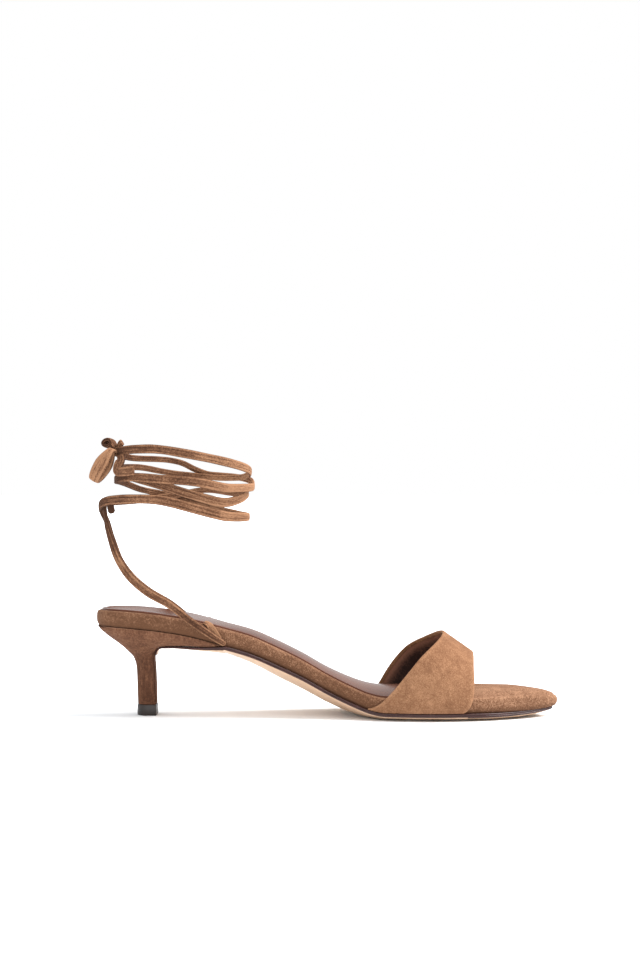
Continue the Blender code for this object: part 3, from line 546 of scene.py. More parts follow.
def placed(point):
    """A tabled place, in mm from the heel's back, as a point in the part's frame."""
    return ((point[0] - LENGTH / 2) * MM, point[1] * MM, point[2] * MM)


def add_points(builder, points):
    return [builder.verts.new(placed(point)) for point in points]


def add_face(builder, corners, look=0):
    """A face, or none where its corners run together."""
    distinct = list(dict.fromkeys(corners))
    if len(distinct) > 2:
        builder.faces.new(distinct).material_index = look


def bridge(builder, first, second, closed=True, look=0):
    """Faces between two rows of points."""
    last = len(first) if closed else len(first) - 1
    for i in range(last):
        j = (i + 1) % len(first)
        add_face(builder, (first[i], first[j], second[j], second[i]), look)


def bridge_all(builder, rows):
    for first, second in zip(rows, rows[1:]):
        bridge(builder, first, second)


def add_sheet(builder, grid, look=0):
    """Faces over a grid of points, and its rim in order."""
    rows = [add_points(builder, row) for row in grid]
    for first, second in zip(rows, rows[1:]):
        bridge(builder, first, second, closed=False, look=look)
    left = [row[0] for row in rows]
    right = [row[-1] for row in rows]
    return left + rows[-1][1:] + right[-2::-1] + rows[0][-2:0:-1]


def add_loft(builder, grids):
    """A body from its level grids: a sheet below and above, and faces up its side. Gives its rims."""
    rims = [add_sheet(builder, grids[0])]
    rims += [add_points(builder, rim(grid)) for grid in grids[1:-1]]
    rims.append(add_sheet(builder, grids[-1]))
    bridge_all(builder, rims)
    return rims


def add_tube(builder, rings):
    """A body from rings of places, closed at both ends."""
    rows = [add_points(builder, ring) for ring in rings]
    bridge_all(builder, rows)
    add_face(builder, rows[0])
    add_face(builder, rows[-1])


def oval(middle, first, second, sides):
    """Places round an oval with the given half axes."""
    angles = np.linspace(0, 2 * np.pi, sides, endpoint=False)
    return middle + np.outer(np.cos(angles), first) + np.outer(np.sin(angles), second)


def add_object(name, data):
    added = bpy.data.objects.new(name, data)
    bpy.context.scene.collection.objects.link(added)
    return added


def mesh_from(name, builder):
    mesh = bpy.data.meshes.new(name)
    builder.to_mesh(mesh)
    builder.free()
    return mesh


def finish_piece(name, builder, looks, nodes=(), sharp=SHARP_ANGLE):
    """A closed piece from a bmesh, with its materials, riding on the shoe and standing for CAD nodes."""
    bmesh.ops.remove_doubles(builder, verts=builder.verts, dist=WELD * MM)
    bmesh.ops.dissolve_degenerate(builder, edges=builder.edges, dist=SLIVER * MM)
    bmesh.ops.recalc_face_normals(builder, faces=builder.faces)
    mesh = mesh_from(name, builder)
    mesh.shade_smooth()
    mesh.set_sharp_from_angle(angle=np.radians(sharp))
    for look in looks:
        mesh.materials.append(look)
    piece = add_object(name, mesh)
    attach(piece, "root")
    if nodes:
        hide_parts(*nodes)


# Turn of the noise textures' own grid, in radians, so that no flat face lies along it
LATTICE_TURN = (0.5, 0.4, 0.3)


def shades(tints):
    """Colours given in display values, as the linear colours that shaders take."""
    shown = np.array(tints) / 255
    linear = np.where(shown <= 0.04045, shown / 12.92, ((shown + 0.055) / 1.055) ** 2.4)
    return [(*colour, 1.0) for colour in linear.tolist()]


class Paint:
    """A node material on one Principled shader, with short calls for its textures."""

    def __init__(self, name, roughness, specular):
        self.material = bpy.data.materials.new(name)
        self.material.use_nodes = True
        self.tree = self.material.node_tree
        self.shader = self.tree.nodes["Principled BSDF"]
        self.shader.inputs["Roughness"].default_value = roughness
        self.shader.inputs["Specular IOR Level"].default_value = specular
        self.place = self.add("TexCoord").outputs["Object"]

    def add(self, kind, inputs=None, **settings):
        """A node with its settings, and its inputs set or linked."""
        node = self.tree.nodes.new("ShaderNode" + kind)
        for key, value in settings.items():
            setattr(node, key, value)
        for key, value in (inputs or {}).items():
            if isinstance(value, bpy.types.NodeSocket):
                self.tree.links.new(value, node.inputs[key])
            else:
                node.inputs[key].default_value = value
        return node

    def attribute(self, name):
        return self.add("Attribute", attribute_name=name, attribute_type="GEOMETRY")

    def noise(self, size, detail=3.0, rough=0.55, stretch=(1, 1, 1), warp=0.0, place=None):
        """Noise with features of about size mm, drawn out by a factor along each axis.

        It lies in the piece's own space, in metres, or in a given place, in mm.
        """
        measure = MM if place is None else 1.0
        scale = [1 / (size * measure * long) for long in stretch]
        inputs = {"Vector": place or self.place, "Scale": scale, "Rotation": LATTICE_TURN}
        mapping = self.add("Mapping", inputs)
        inputs = {
            "Vector": mapping.outputs["Vector"],
            "Scale": 1.0,
            "Detail": detail,
            "Roughness": rough,
            "Distortion": warp,
        }
        return self.add("TexNoise", inputs).outputs["Fac"]

    def math(self, kind, first, second):
        return self.add("Math", {0: first, 1: second}, operation=kind).outputs[0]

    def total(self, base, *parts):
        """base plus each (texture, weight), with the textures counted from their middle, 0.5."""
        value = base - sum(weight for _, weight in parts) / 2
        for texture, weight in parts:
            inputs = {0: texture, 1: weight, 2: value}
            value = self.add("Math", inputs, operation="MULTIPLY_ADD").outputs[0]
        return value

    def ramp(self, share, *stops):
        node = self.add("ValToRGB", {"Fac": share})
        marks = node.color_ramp.elements
        while len(marks) < len(stops):
            marks.new(1.0)
        for mark, (at, colour) in zip(marks, stops):
            mark.position = at
            mark.color = colour
        return node.outputs["Color"]

    def remap(self, value, start=0.0, end=1.0, low=0.0, high=1.0):
        """A value from start to end as one from low to high, and no further."""
        inputs = {"Value": value, "From Min": start, "From Max": end, "To Min": low, "To Max": high}
        return self.add("MapRange", inputs).outputs["Result"]

    def link(self, name, socket):
        self.tree.links.new(socket, self.shader.inputs[name])

    def bump(self, height, depth, strength):
        inputs = {"Height": height, "Distance": depth * MM, "Strength": strength}
        self.link("Normal", self.add("Bump", inputs).outputs["Normal"])

    def sheen(self, weight, roughness, tint):
        self.shader.inputs["Sheen Weight"].default_value = weight
        self.shader.inputs["Sheen Roughness"].default_value = roughness
        self.shader.inputs["Sheen Tint"].default_value = tint


def suede(name, tints, brush=None, comb=1.3, top_only=False, laid=False, speckle=1.0, cloudy=1.0):
    """Napped suede: cloudy tone, soft patches and short fibres, drawn out along any brush.

    The piece's own tone attribute makes places paler or darker: random tone, painted highlights along
    edges, and painted shade in creases, seams and on sides turned from the light.
    Laid suede is brushed along the piece's own lay, in mm along and across a strap.
    """
    deep, middle, pale = shades(tints)
    paint = Paint(name, roughness=0.95, specular=0.1)
    cloud = paint.noise(20, detail=2.0)
    patch = paint.noise(6.5, detail=4.0, rough=0.6, warp=0.9)
    grain = paint.noise(1.2, rough=0.65)
    nap = paint.noise(0.5, detail=2.0, rough=0.7)
    broad = [(cloud, 0.5 * cloudy), (patch, 0.9 * cloudy)]
    tone = paint.total(0.5, *broad, (grain, 0.5 * speckle), (nap, 1.25 * speckle))
    height = paint.total(0.5, (patch, 0.4), (grain, 0.8), (nap, 0.8))
    if brush:
        streak = paint.noise(0.9, detail=4.0, rough=0.62, stretch=brush)
        lay = paint.math("SUBTRACT", streak, 0.5)
        if top_only:
            normal = paint.add("TexCoord").outputs["Normal"]
            facing = paint.add("SeparateXYZ", {"Vector": normal}).outputs["Z"]
            lay = paint.math("MULTIPLY", lay, paint.remap(facing, start=0.55, end=0.95))
        tone = paint.math("ADD", tone, paint.math("MULTIPLY", lay, comb))
        height = paint.math("ADD", height, lay)
    if laid:
        place = paint.attribute("lay").outputs["Vector"]
        fibre = paint.noise(0.42, rough=0.6, stretch=(16, 1, 1), place=place)
        band = paint.noise(1.5, detail=2.0, stretch=(26, 1, 1), place=place)
        lay = paint.total(0.0, (fibre, 1.2), (band, 1.0))
        tone = paint.math("ADD", tone, lay)
        height = paint.math("ADD", height, lay)
    tone = paint.math("ADD", tone, paint.attribute("tone").outputs["Fac"])
    paint.link("Base Color", paint.ramp(tone, (0.05, deep), (0.5, middle), (0.95, pale)))
    paint.bump(height, depth=0.14, strength=0.8)
    paint.sheen(weight=0.3, roughness=0.5, tint=pale)
    return paint.material


def leather(name, tints, rough, stretch=(1, 1, 1), specular=0.5, painted_shading=False):
    """Smooth leather with pores and duller patches. With painted shading, it takes the tone attribute,
    which holds painted light and shade.
    """
    deep, pale = shades(tints)
    paint = Paint(name, rough, specular)
    cloud = paint.noise(18, stretch=stretch)
    grain = paint.noise(0.9, rough=0.6)
    inputs = {"Vector": paint.place, "Scale": 1 / (0.55 * MM)}
    pores = paint.add("TexVoronoi", inputs, feature="DISTANCE_TO_EDGE").outputs["Distance"]
    tone = paint.total(0.5, (cloud, 0.9), (grain, 0.5))
    if painted_shading:
        tone = paint.math("ADD", tone, paint.attribute("tone").outputs["Fac"])
    paint.link("Base Color", paint.ramp(tone, (0.2, deep), (0.8, pale)))
    dull = paint.total(0.5, (cloud, 1.0), (grain, 0.4))
    paint.link("Roughness", paint.remap(dull, low=rough - 0.06, high=rough + 0.08))
    paint.bump(paint.total(0.5, (pores, 1.2), (grain, 0.5)), depth=0.03, strength=0.4)
    return paint.material


# Hard finishes: roughness and specular level, fine marks drawn out along the stretch, broad blots, the
# weights of both in the tone, the ends of the colour ramp and of the roughness, and the marks' depth
Finish = namedtuple("Finish", "rough specular mark stretch harsh blot detail weights ramp shine depth")
EDGE_FINISH = Finish(0.24, 0.3, 0.6, (14, 14, 1), 0.55, 5, 3.0, (0.8, 0.6), (0.2, 0.8), (0.17, 0.34), 0.03)
SOLE_FINISH = Finish(0.5, 0.4, 0.5, (9, 1, 1), 0.6, 14, 4.0, (0.6, 0.8), (0.15, 0.85), (0.38, 0.62), 0.04)
TIP_FINISH = Finish(0.42, 0.45, 0.4, (8, 8, 1), 0.55, 3, 3.0, (0.6, 0.6), (0.2, 0.85), (0.32, 0.55), 0.04)


def hard_finish(name, tints, finish):
    """Hard surface with fine cut or drawn marks and a few rubbed patches."""
    paint = Paint(name, finish.rough, finish.specular)
    marks = paint.noise(finish.mark, rough=finish.harsh, stretch=finish.stretch)
    blot = paint.noise(finish.blot, detail=finish.detail, rough=finish.harsh)
    tone = paint.total(0.5, *zip((marks, blot), finish.weights))
    paint.link("Base Color", paint.ramp(tone, *zip(finish.ramp, shades(tints))))
    paint.link("Roughness", paint.remap(blot, low=finish.shine[0], high=finish.shine[1]))
    paint.bump(marks, finish.depth, strength=0.5)
    return paint.material


VAMP_SUEDE = suede("vamp_suede", [(94, 63, 43), (123, 87, 63), (151, 113, 84)], speckle=1.25)
BED_SUEDE = suede("bed_suede", [(86, 58, 41), (119, 85, 64), (153, 117, 91)], brush=(9, 1, 1), comb=0.6,
                  top_only=True, speckle=2.2)
HEEL_SUEDE = suede("heel_suede", [(70, 45, 33), (97, 65, 48), (126, 90, 68)], brush=(1, 1, 7))
TIE_SUEDE = suede("tie_suede", [(58, 37, 26), (96, 65, 47), (144, 106, 79)], laid=True, speckle=1.3,
                  cloudy=0.45)
SOCK_LEATHER = leather("sock_leather", [(66, 39, 30), (97, 61, 47)], 0.22, stretch=(4, 1, 1),
                       specular=0.05)
# The lining takes painted light and shade from the vamp's tone attribute
LINING = leather("lining_leather", [(38, 23, 19), (128, 88, 70)], 0.5, specular=0.2, painted_shading=True)
EDGE_PAINT = hard_finish("edge_paint", [(34, 15, 14), (66, 36, 33)], EDGE_FINISH)
SOLE_TAN = hard_finish("sole_tan", [(178, 144, 116), (212, 180, 150)], SOLE_FINISH)
TIP_BLACK = hard_finish("tip_black", [(20, 14, 12), (46, 34, 30)], TIP_FINISH)
THREAD = leather("thread", [(52, 32, 26), (84, 56, 46)], 0.6)


def wrap_height(station, across, rise):
    """Height of one level of the footbed's wrap."""
    low = seam(station, across)
    return low + rise * (bed(station, across) + toe_pad(station, across) - low)


def make_footbed():
    """Suede-wrapped footbed with its padded side."""
    levels = refined(FOOTBED_SIDE, FOOTBED_SIDE_STEPS)
    grids = level_grids(all_stations(), levels, wrap_height)
    builder = bmesh.new()
    layer = builder.verts.layers.float.new("tone")
    # Painted shade in the seam and a painted highlight along the top edge, up the side
    tones = column(SIDE_PAINTED_LIGHT, "tone", [level.rise for level in levels], by="rise")
    rims = add_loft(builder, grids)
    for vert in rims[0]:
        vert[layer] = tones[0]
    # Painted shade along the side, by station
    for row, grid, tone in zip(rims[1:-1], grids[1:-1], tones[1:-1]):
        for vert, darker in zip(row, column(LENGTH_PAINTED_SHADE, "tone", rim(grid)[:, 0])):
            vert[layer] = tone + darker
    finish_piece("footbed_wrap", builder, [BED_SUEDE], ["footbed"])


def sock_height(station, across, rise):
    """Height of one level of the sock: flat on the footbed below, and above with a slight crown."""
    crown = column(SECTIONS, "dish", station) + SOCK_CROWN * half_width(station)
    crown *= ease(portion(station, SOCK_CROWN_FROM, SOCK_CROWN_TO))
    crown = crown if rise > 0 else 0.0
    return bed(station, across) + crown * (1 - across**2) + SOCK_LOW + rise * INSOLE


def make_sock():
    """Leather sock with a rounded edge and a sewn groove along it."""
    stations = stations_to(INSOLE_END)
    builder = bmesh.new()
    add_loft(builder, level_grids(stations, SOCK_EDGE, sock_height, INSOLE_INSET, round_end=False))
    finish_piece("sock", builder, [SOCK_LEATHER], ["insole"])


def add_stitch(builder, middle, along, up):
    """One thread stitch: a short bead along its seam."""
    side = np.cross(up, along)
    rings = []
    for place, girth in STITCH_RINGS:
        reach = girth * STITCH_THICK / 2
        rings.append(oval(middle + along * place * STITCH_LONG, side * reach, up * reach, STITCH_SIDES))
    add_tube(builder, rings)


def make_sock_stitches():
    """A row of thread stitches in the sock's groove, round from the inner side by the heel."""
    inner, outer = plan(stations_to(INSOLE_END), INSOLE_INSET + STITCH_INSET, round_end=False)
    line = np.concatenate([inner[::-1], outer[1:]])
    sides = np.repeat([-STITCH_ACROSS, STITCH_ACROSS], [len(inner), len(outer) - 1])
    path = np.column_stack([line, bed(line[:, 0], sides) + SOCK_LOW + STITCH_RISE * INSOLE])
    keys = distances(path)
    builder = bmesh.new()
    for at in np.arange(STITCH_PITCH, keys[-1], STITCH_PITCH):
        ends = np.array([at - STITCH_PROBE, at + STITCH_PROBE])
        start, end = np.stack([np.interp(ends, keys, axis) for axis in path.T], axis=1)
        along = unit(end - start)
        add_stitch(builder, (start + end) / 2, along, unit(UP - along[2] * along))
    finish_piece("sock_stitches", builder, [THREAD])


def toe_share(station):
    """How far into the toe a station lies, where the outsole draws in and thins."""
    return portion(station, OUTSOLE_TOE_FROM, LENGTH)


def outsole_proud(station):
    """How far the outsole stands out beyond the footbed."""
    return OUTSOLE_PROUD - (OUTSOLE_PROUD + OUTSOLE_TOE_INSET) * toe_share(station)


def outsole_half(station):
    """Half width of the outsole, which narrows behind the waist to the heel's breast."""
    share = portion(station, BREAST - BREAST_TURN, WING_TIP)
    full = half_width(np.maximum(station, WING_TIP)) + outsole_proud(station)
    return BREAST_HALF + (full - BREAST_HALF) * share**WING_SPREAD


def outsole_top(station, across):
    """Height of the outsole's upper face: the seam in front, and the wing's underside behind it."""
    wing = column(SKIVE, "top", station) - camber(station, across) - lean(station, across)
    return np.where(station < WING_TIP, wing, seam(station, across)) - GAP * (1 + toe_share(station))


def outsole_thick(station):
    """Thickness of the outsole: skived under the heel's wing, and a little under the tip of the toe."""
    front = OUTSOLE * (1 - TOE_SKIVE * toe_share(station) ** 2)
    return np.where(station < WING_TIP, column(SKIVE, "thick", station), front)


def outsole_grid(inset, depth):
    """The outsole's points at one level of its edge, from the free end at the breast to the toe."""
    top = float(column(SKIVE, "top", BREAST)) - GAP
    places = [(BREAST - BREAST_TURN, top - BREAST_DROP, np.pi / 2)]
    for angle in np.linspace(np.pi / 2, 0, BREAST_STEPS + 1)[:-1]:
        x = BREAST - BREAST_TURN * np.sin(angle)
        places.append((x, top - BREAST_TURN * (1 - np.cos(angle)), angle))
    thin = SKIVE[0].thick / OUTSOLE
    drop = depth * SKIVE[0].thick
    turned = []
    for x, z, angle in places:
        y = COLUMNS * (float(outsole_half(x)) - inset * thin)
        ahead = np.full_like(y, x + drop * np.sin(angle))
        turned.append(np.column_stack([ahead, y, np.full_like(y, z - drop * np.cos(angle))]))
    stations = all_stations()
    wing = np.linspace(BREAST, WING_TIP, WING_STEPS + 1)[:-1]
    front = np.concatenate([wing, stations[stations > WING_TIP - LAST_STEP]])
    shown = np.repeat([0.0, inset], [len(wing), len(front) - len(wing)])
    inner, outer = plan(front, (shown - outsole_proud(front))[:, None], round_start=False)
    for i, station in enumerate(wing):
        half = float(outsole_half(station)) - inset * float(outsole_thick(station)) / OUTSOLE
        middle = float(centre(station)) * (station - BREAST) / (WING_TIP - BREAST)
        inner[i] = (station, middle - half)
        outer[i] = (station, middle + half)
    level = between(inner, outer)
    grid = raised(level, lambda s, across: outsole_top(s, across) - depth * outsole_thick(s))
    return np.concatenate([turned, grid])


def make_outsole():
    """Outsole with a polished two-ply edge, bare along its foot up to the toe, and a tan underside."""
    bare_to = placed((EDGE_BARE_TO, 0.0, 0.0))[0]
    first, *middle, last = OUTSOLE_EDGE
    builder = bmesh.new()
    below = add_sheet(builder, outsole_grid(first.inset, first.depth))
    for row in middle:
        ring = add_points(builder, rim(outsole_grid(row.inset, row.depth)))
        bridge(builder, below, ring, look=0 if row.look == "edge" else 1)
        if row.look == "bare":
            for face in {face for vert in ring for face in vert.link_faces}:
                if face.calc_center_median().x > bare_to:
                    face.material_index = 0
        below = ring
    bridge(builder, below, add_sheet(builder, outsole_grid(last.inset, last.depth), look=1), look=1)
    finish_piece("outsole_leather", builder, [EDGE_PAINT, SOLE_TAN], ["outsole"])


def vamp_surface(station, reach):
    """Outer face of the vamp: an arch over the foot on the footbed's outline, tucked in at the seam."""
    angle = np.pi * (1 - np.cos(np.pi * reach)) / 2
    power = 2 / VAMP_FULLNESS
    span = half_width(station) + VAMP_STAND_OFF
    side = -np.sign(np.cos(angle)) * np.abs(np.cos(angle)) ** power
    base = column(SECTIONS, "edge", station) - lean(station, side)
    crest = VAMP_PEAK + VAMP_SLOPE * (station - VAMP_PEAK_STATION)
    rise = (crest - base) * np.abs(np.sin(angle)) ** power
    tuck = VAMP_TUCK * np.clip(1 - rise / VAMP_TUCK_HEIGHT, 0, 1) ** 2
    y = centre(station) + side * (span - tuck)
    return np.stack([station, y, base + rise + VAMP_LIFT], axis=-1)


def vamp_normal(station, reach):
    """Direction out of the vamp's face, level at its foot."""
    forward = vamp_surface(station + VAMP_PROBE, reach) - vamp_surface(station, reach)
    low = np.clip(reach - VAMP_PROBE / 4, 0, 1)
    high = np.clip(reach + VAMP_PROBE / 4, 0, 1)
    normal = unit(np.cross(forward, vamp_surface(station, high) - vamp_surface(station, low)))
    level = reach * (1 - reach) < SMALL
    normal[level] *= (1, 1, 0)
    return normal


def make_vamp():
    """Vamp band: suede outside, turned in over its edges, and a leather lining."""
    reach = np.linspace(0, 1, VAMP_OVER_STEPS + 1)
    round_in = VAMP_WALL / 2 / np.hypot(1, VAMP_SLOPE)
    back = column(VAMP_EDGES, "back", reach, by="reach") + round_in
    front = column(VAMP_EDGES, "front", reach, by="reach") - round_in
    near = np.array(VAMP_BORDER)[:, None]
    share = np.linspace(0, 1, VAMP_ALONG_STEPS + 1)[1:-1, None]
    middle = back + near[-1] + share * (front - back - 2 * near[-1])
    station = np.concatenate([back + near, middle, front - near[::-1]])
    away = np.concatenate([near[:, 0], np.full(len(middle), near[-1, 0] + 1), near[::-1, 0]])
    spread = np.broadcast_to(reach, station.shape)
    outer = vamp_surface(station, spread)
    normal = vamp_normal(station, spread)
    lined = away > VAMP_TURN_IN
    inner = outer - (VAMP_WALL - VAMP_TURN_STEP * lined)[:, None, None] * normal
    turn = np.linspace(0, np.pi, VAMP_RIM_STEPS + 2)[1:-1]
    arch_tone = column(ARCH_TONES, "tone", reach, by="reach")
    rim_tone = column(ARCH_TONES, "rim", reach, by="reach")
    loops, looks, tones = [], [], []

    def add_loop(places, look, tone):
        loops.append(places)
        looks.append(look)
        tones.append(tone)

    def edge_round(index, sign):
        tangent = unit(vamp_surface(station[index] + sign * VAMP_PROBE, reach) - outer[index])
        core = outer[index] - normal[index] * VAMP_WALL / 2
        for angle in turn if sign > 0 else turn[::-1]:
            out = np.cos(angle) * normal[index] + np.sin(angle) * tangent
            add_loop(core + VAMP_WALL / 2 * out, 0, rim_tone)

    for row, gap in zip(outer, away):
        # Near the edges, the rim's paler cut edge and painted shade blend in
        rim_blend = max(1 - gap / VAMP_RIM_WIDE, 0)
        add_loop(row, 0, arch_tone * (1 - rim_blend) + rim_tone * rim_blend)
    edge_round(-1, 1)
    for row, places, dark in zip(inner[::-1], station[::-1], lined[::-1]):
        # Painted light on the lining near its back edge, fading into painted shade deeper in
        light = np.clip(1 - (places - back) / LINING_LIGHT_FADE, 0, 1) ** 2
        lining_painted_light = LINING_PAINTED_SHADE + (LINING_PAINTED_LIGHT - LINING_PAINTED_SHADE) * light
        add_loop(row, int(dark), lining_painted_light if dark else rim_tone)
    edge_round(0, -1)
    builder = bmesh.new()
    layer = builder.verts.layers.float.new("tone")
    rows = [add_points(builder, loop) for loop in loops]
    for row, levels in zip(rows, tones):
        for vert, tone in zip(row, levels):
            vert[layer] = tone
    for k, row in enumerate(rows):
        following = (k + 1) % len(rows)
        bridge(builder, row, rows[following], closed=False, look=max(looks[k], looks[following]))
    add_face(builder, [row[0] for row in rows])
    add_face(builder, [row[-1] for row in rows])
    finish_piece("vamp_band", builder, [VAMP_SUEDE, LINING], ["vamp"])


def heel_outline(back, front, half, front_half):
    """Plan outline of one level of the heel, from the inner front corner round the back."""
    share = 1 - np.cos(np.linspace(0, np.pi / 2, HEEL_SIDE_STEPS + 1))
    bowed = np.sqrt(np.clip(1 - (1 - np.minimum(share / HEEL_ROUND_SHARE, 1)) ** 2, 0, 1))
    width = half * bowed + (front_half - half) * portion(share, HEEL_ROUND_SHARE, 1) ** 2
    station = back + (front - back) * share
    inner = np.stack([station, -width], axis=1)[::-1]
    outer = np.stack([station, width], axis=1)
    return np.concatenate([inner, outer[1:]]), np.concatenate([share[::-1], share[1:]])


def heel_level(row):
    """One level of the heel: its outline with heights, and the line across its front."""
    front_half = min(float(outsole_half(row.front)), row.half)
    outline, share = heel_outline(row.back, row.front, row.half, front_half)
    height = row.low + (row.high - row.low) * share**HEEL_LINE_BEND
    across = ((COLUMNS + 1) / 2)[:, None]
    line = outline[-1] * (1 - across) + outline[0] * across
    line = np.column_stack([line, row.high - camber(line[:, 0], -COLUMNS)])[1:-1]
    return np.concatenate([np.column_stack([outline, height]), line])


def edges_between(firsts, seconds):
    """Edges from each point of one row to its fellow in another."""
    edges = []
    for first, second in zip(firsts, seconds):
        edges += [edge for edge in first.link_edges if edge.other_vert(first) is second]
    return edges


def make_heel():
    """Suede-covered heel, with softened corners at its front."""
    builder = bmesh.new()
    layer = builder.verts.layers.float.new("tone")
    rings = []
    for row in refined(HEEL_ROWS, HEEL_LEVELS):
        ring = add_points(builder, heel_level(row))
        for vert in ring:
            vert[layer] = STEM_TONE * portion(row.low, STEM_TONE_FROM, STEM_TONE_TO)
        rings.append(ring)
    add_face(builder, rings[0])
    bridge_all(builder, rings)
    grid = plan_grid(stations_to(HEEL_SEAT_FRONT), HEEL_SEAT_INSET, round_end=False)
    seat = add_sheet(builder, raised(grid, lambda s, across: seam(s, across) - GAP))
    loops = [edges_between(ring, ring[1:] + ring[:1]) for ring in (rings[-1], seat)]
    bmesh.ops.bridge_loops(builder, edges=loops[0] + loops[1])
    corners = []
    last = 2 * HEEL_SIDE_STEPS
    for lower, upper in zip(rings[:HEEL_CORNER_LEVELS], rings[1:]):
        corners += edges_between((lower[0], lower[last]), (upper[0], upper[last]))
    bevel = {"offset": HEEL_CORNER * MM, "segments": HEEL_CORNER_STEPS, "profile": 0.5, "affect": "EDGES"}
    bmesh.ops.bevel(builder, geom=corners, **bevel)
    finish_piece("heel_cover", builder, [HEEL_SUEDE], ["heel_block"])


def make_tip():
    """Top lift with a rounded lower edge."""
    row = HEEL_ROWS[0]
    rings = []
    for height, proud in TIP_RINGS:
        half = row.half + proud
        outline, _ = heel_outline(row.back - proud, row.front + proud, half, half)
        rings.append(np.column_stack([outline, np.full(len(outline), height)]))
    builder = bmesh.new()
    add_tube(builder, rings)
    finish_piece("top_lift", builder, [TIP_BLACK], ["heel_tip"], TIP_SHARP_ANGLE)


def even_path(points, directions, spacing):
    """A smooth path through the points, with places at even distances, its facing and its width share."""
    points = np.asarray(points, float)
    directions = np.asarray(directions, float)
    keys = distances(points)
    at = np.linspace(0, keys[-1], max(int(round(keys[-1] / spacing)), 4) + 1)
    path = np.stack([smooth(keys, axis, at, limit=False) for axis in points.T], axis=1)
    facing = np.stack([smooth(keys, axis, at) for axis in directions.T], axis=1)
    return path, facing[:, :3], facing[:, 3]


def line_along(shares, at, wide):
    """A soft line along a strap on each side of its middle, 1 at its crest."""
    return np.exp(-(((np.abs(shares) - at) / wide) ** 2))


def strap_section(width, thick, crease):
    """Closed section of a folded strap with a pressed line along each edge: places and shares."""
    upper = np.concatenate([STRAP_SHARES[::-1], -STRAP_SHARES[1:]])
    body = thick / 2 * (1 - np.abs(upper) ** STRAP_FULLNESS) ** (1 / STRAP_FULLNESS)
    height = np.maximum(body - crease * line_along(upper, CREASE_AT, CREASE_WIDE), 0)
    top = np.stack([upper * width / 2, height], axis=1)
    return np.concatenate([top, -top[1:-1]]), np.concatenate([upper, -upper[1:-1]])


def drift(count, wander, seed):
    """A slow wander along a strap, the same each run."""
    source = np.random.default_rng(seed)
    knots = np.arange(0, count + wander.step, wander.step)
    return smooth(knots, source.normal(0, wander.size, len(knots)), np.arange(count), limit=False)


def rounded(along, length, ends):
    """Share of the width near a strap's ends, for the radius in mm that each is rounded with."""
    share = np.ones(len(along))
    for distance, radius in ((along, ends[0]), (length - along, ends[1])):
        if radius:
            share *= np.sqrt(1 - (1 - np.clip(distance / radius, STRAP_END_LEAST, 1)) ** 2)
    return share


def add_strap(builder, course, width, thick, crease, seed, tone=0.0, folded=0.0, ends=(0, 0)):
    """A flat folded strap along its course: the path, the facing there and the share of the width."""
    path, facing, share = course
    tangent = unit(np.gradient(path, axis=0))
    wide = unit(np.cross(facing, tangent))
    face = np.cross(tangent, wide)
    section, shares = strap_section(width, thick, crease)
    count = len(path)
    along = distances(path)
    swell = share * (1 + drift(count, SWELL, seed)) * rounded(along, along[-1], ends)
    sway = drift(count, SWAY, seed + 1)
    cup = drift(count, CUP, seed + 2)
    layer = builder.verts.layers.float["tone"]
    lay = builder.verts.layers.float_vector["lay"]
    # Painted shade in the pressed line, a painted highlight on the rounded edges, painted shade at the lip
    tones = CREASE_PAINTED_SHADE * line_along(shares, CREASE_AT, CREASE_WIDE)
    tones += STRAP_EDGE_PAINTED_HIGHLIGHT * line_along(shares, STRAP_EDGE_AT, STRAP_EDGE_WIDE)
    tones += STRAP_RIM_PAINTED_SHADE * portion(np.abs(shares), STRAP_RIM_FROM, 1)
    shade = drift(count, SHADE, seed + 3) + tone
    # Painted shade where the tie faces back and painted light where it faces forward
    forward = unit(facing)[:, 0]
    shade += BACK_FACING_PAINTED_SHADE * np.clip(-forward, 0, 1) ** BACK_FACING_SHADE_POWER * folded
    shade += FRONT_FACING_PAINTED_LIGHT * np.clip(forward, 0, 1) * folded
    rings = []
    for i in range(count):
        depth = section[:, 1] + cup[i] * (shares**2 - CUP_LEVEL)
        ring = path[i] + np.outer(section[:, 0] * swell[i] + sway[i], wide[i]) + np.outer(depth, face[i])
        row = add_points(builder, ring)
        for vert, mark, place in zip(row, tones, section):
            vert[layer] = mark + shade[i]
            vert[lay] = (along[i], place[0], place[1] + seed * LAY_APART)
        rings.append(row)
    bridge_all(builder, rings)
    for row in (rings[0], rings[-1]):
        for k in range(len(shares) // 2):
            add_face(builder, (row[k], row[k + 1], row[-k - 1], row[-k % len(row)]))


def strap_builder():
    builder = bmesh.new()
    builder.verts.layers.float.new("tone")
    builder.verts.layers.float_vector.new("lay")
    return builder


def strap_piece(name, course, seed, nodes=(), size=(STRAP_WIDTH, STRAP_THICK, CREASE_DEEP), **looks):
    """One strap as a piece, with its width, thickness and depth of crease as its size."""
    builder = strap_builder()
    add_strap(builder, course, *size, seed, **looks)
    finish_piece(name, builder, [TIE_SUEDE], nodes)


def around(turn, height, layer):
    """Place on the ankle oval at a turn, 0 in front, 90 at the inner side, 180 behind, and its facing."""
    back = OVAL_BACK_LOW + (OVAL_BACK_HIGH - OVAL_BACK_LOW) * ease(portion(height, OVAL_LOW, OVAL_HIGH))
    reach = (OVAL_FRONT - back) / 2
    angle = np.radians(turn)
    facing = unit(np.array([np.cos(angle) / reach, -np.sin(angle) / OVAL_WIDE]))
    place = np.array([back + reach * (1 + np.cos(angle)), -OVAL_WIDE * np.sin(angle)])
    return place + layer * facing, facing


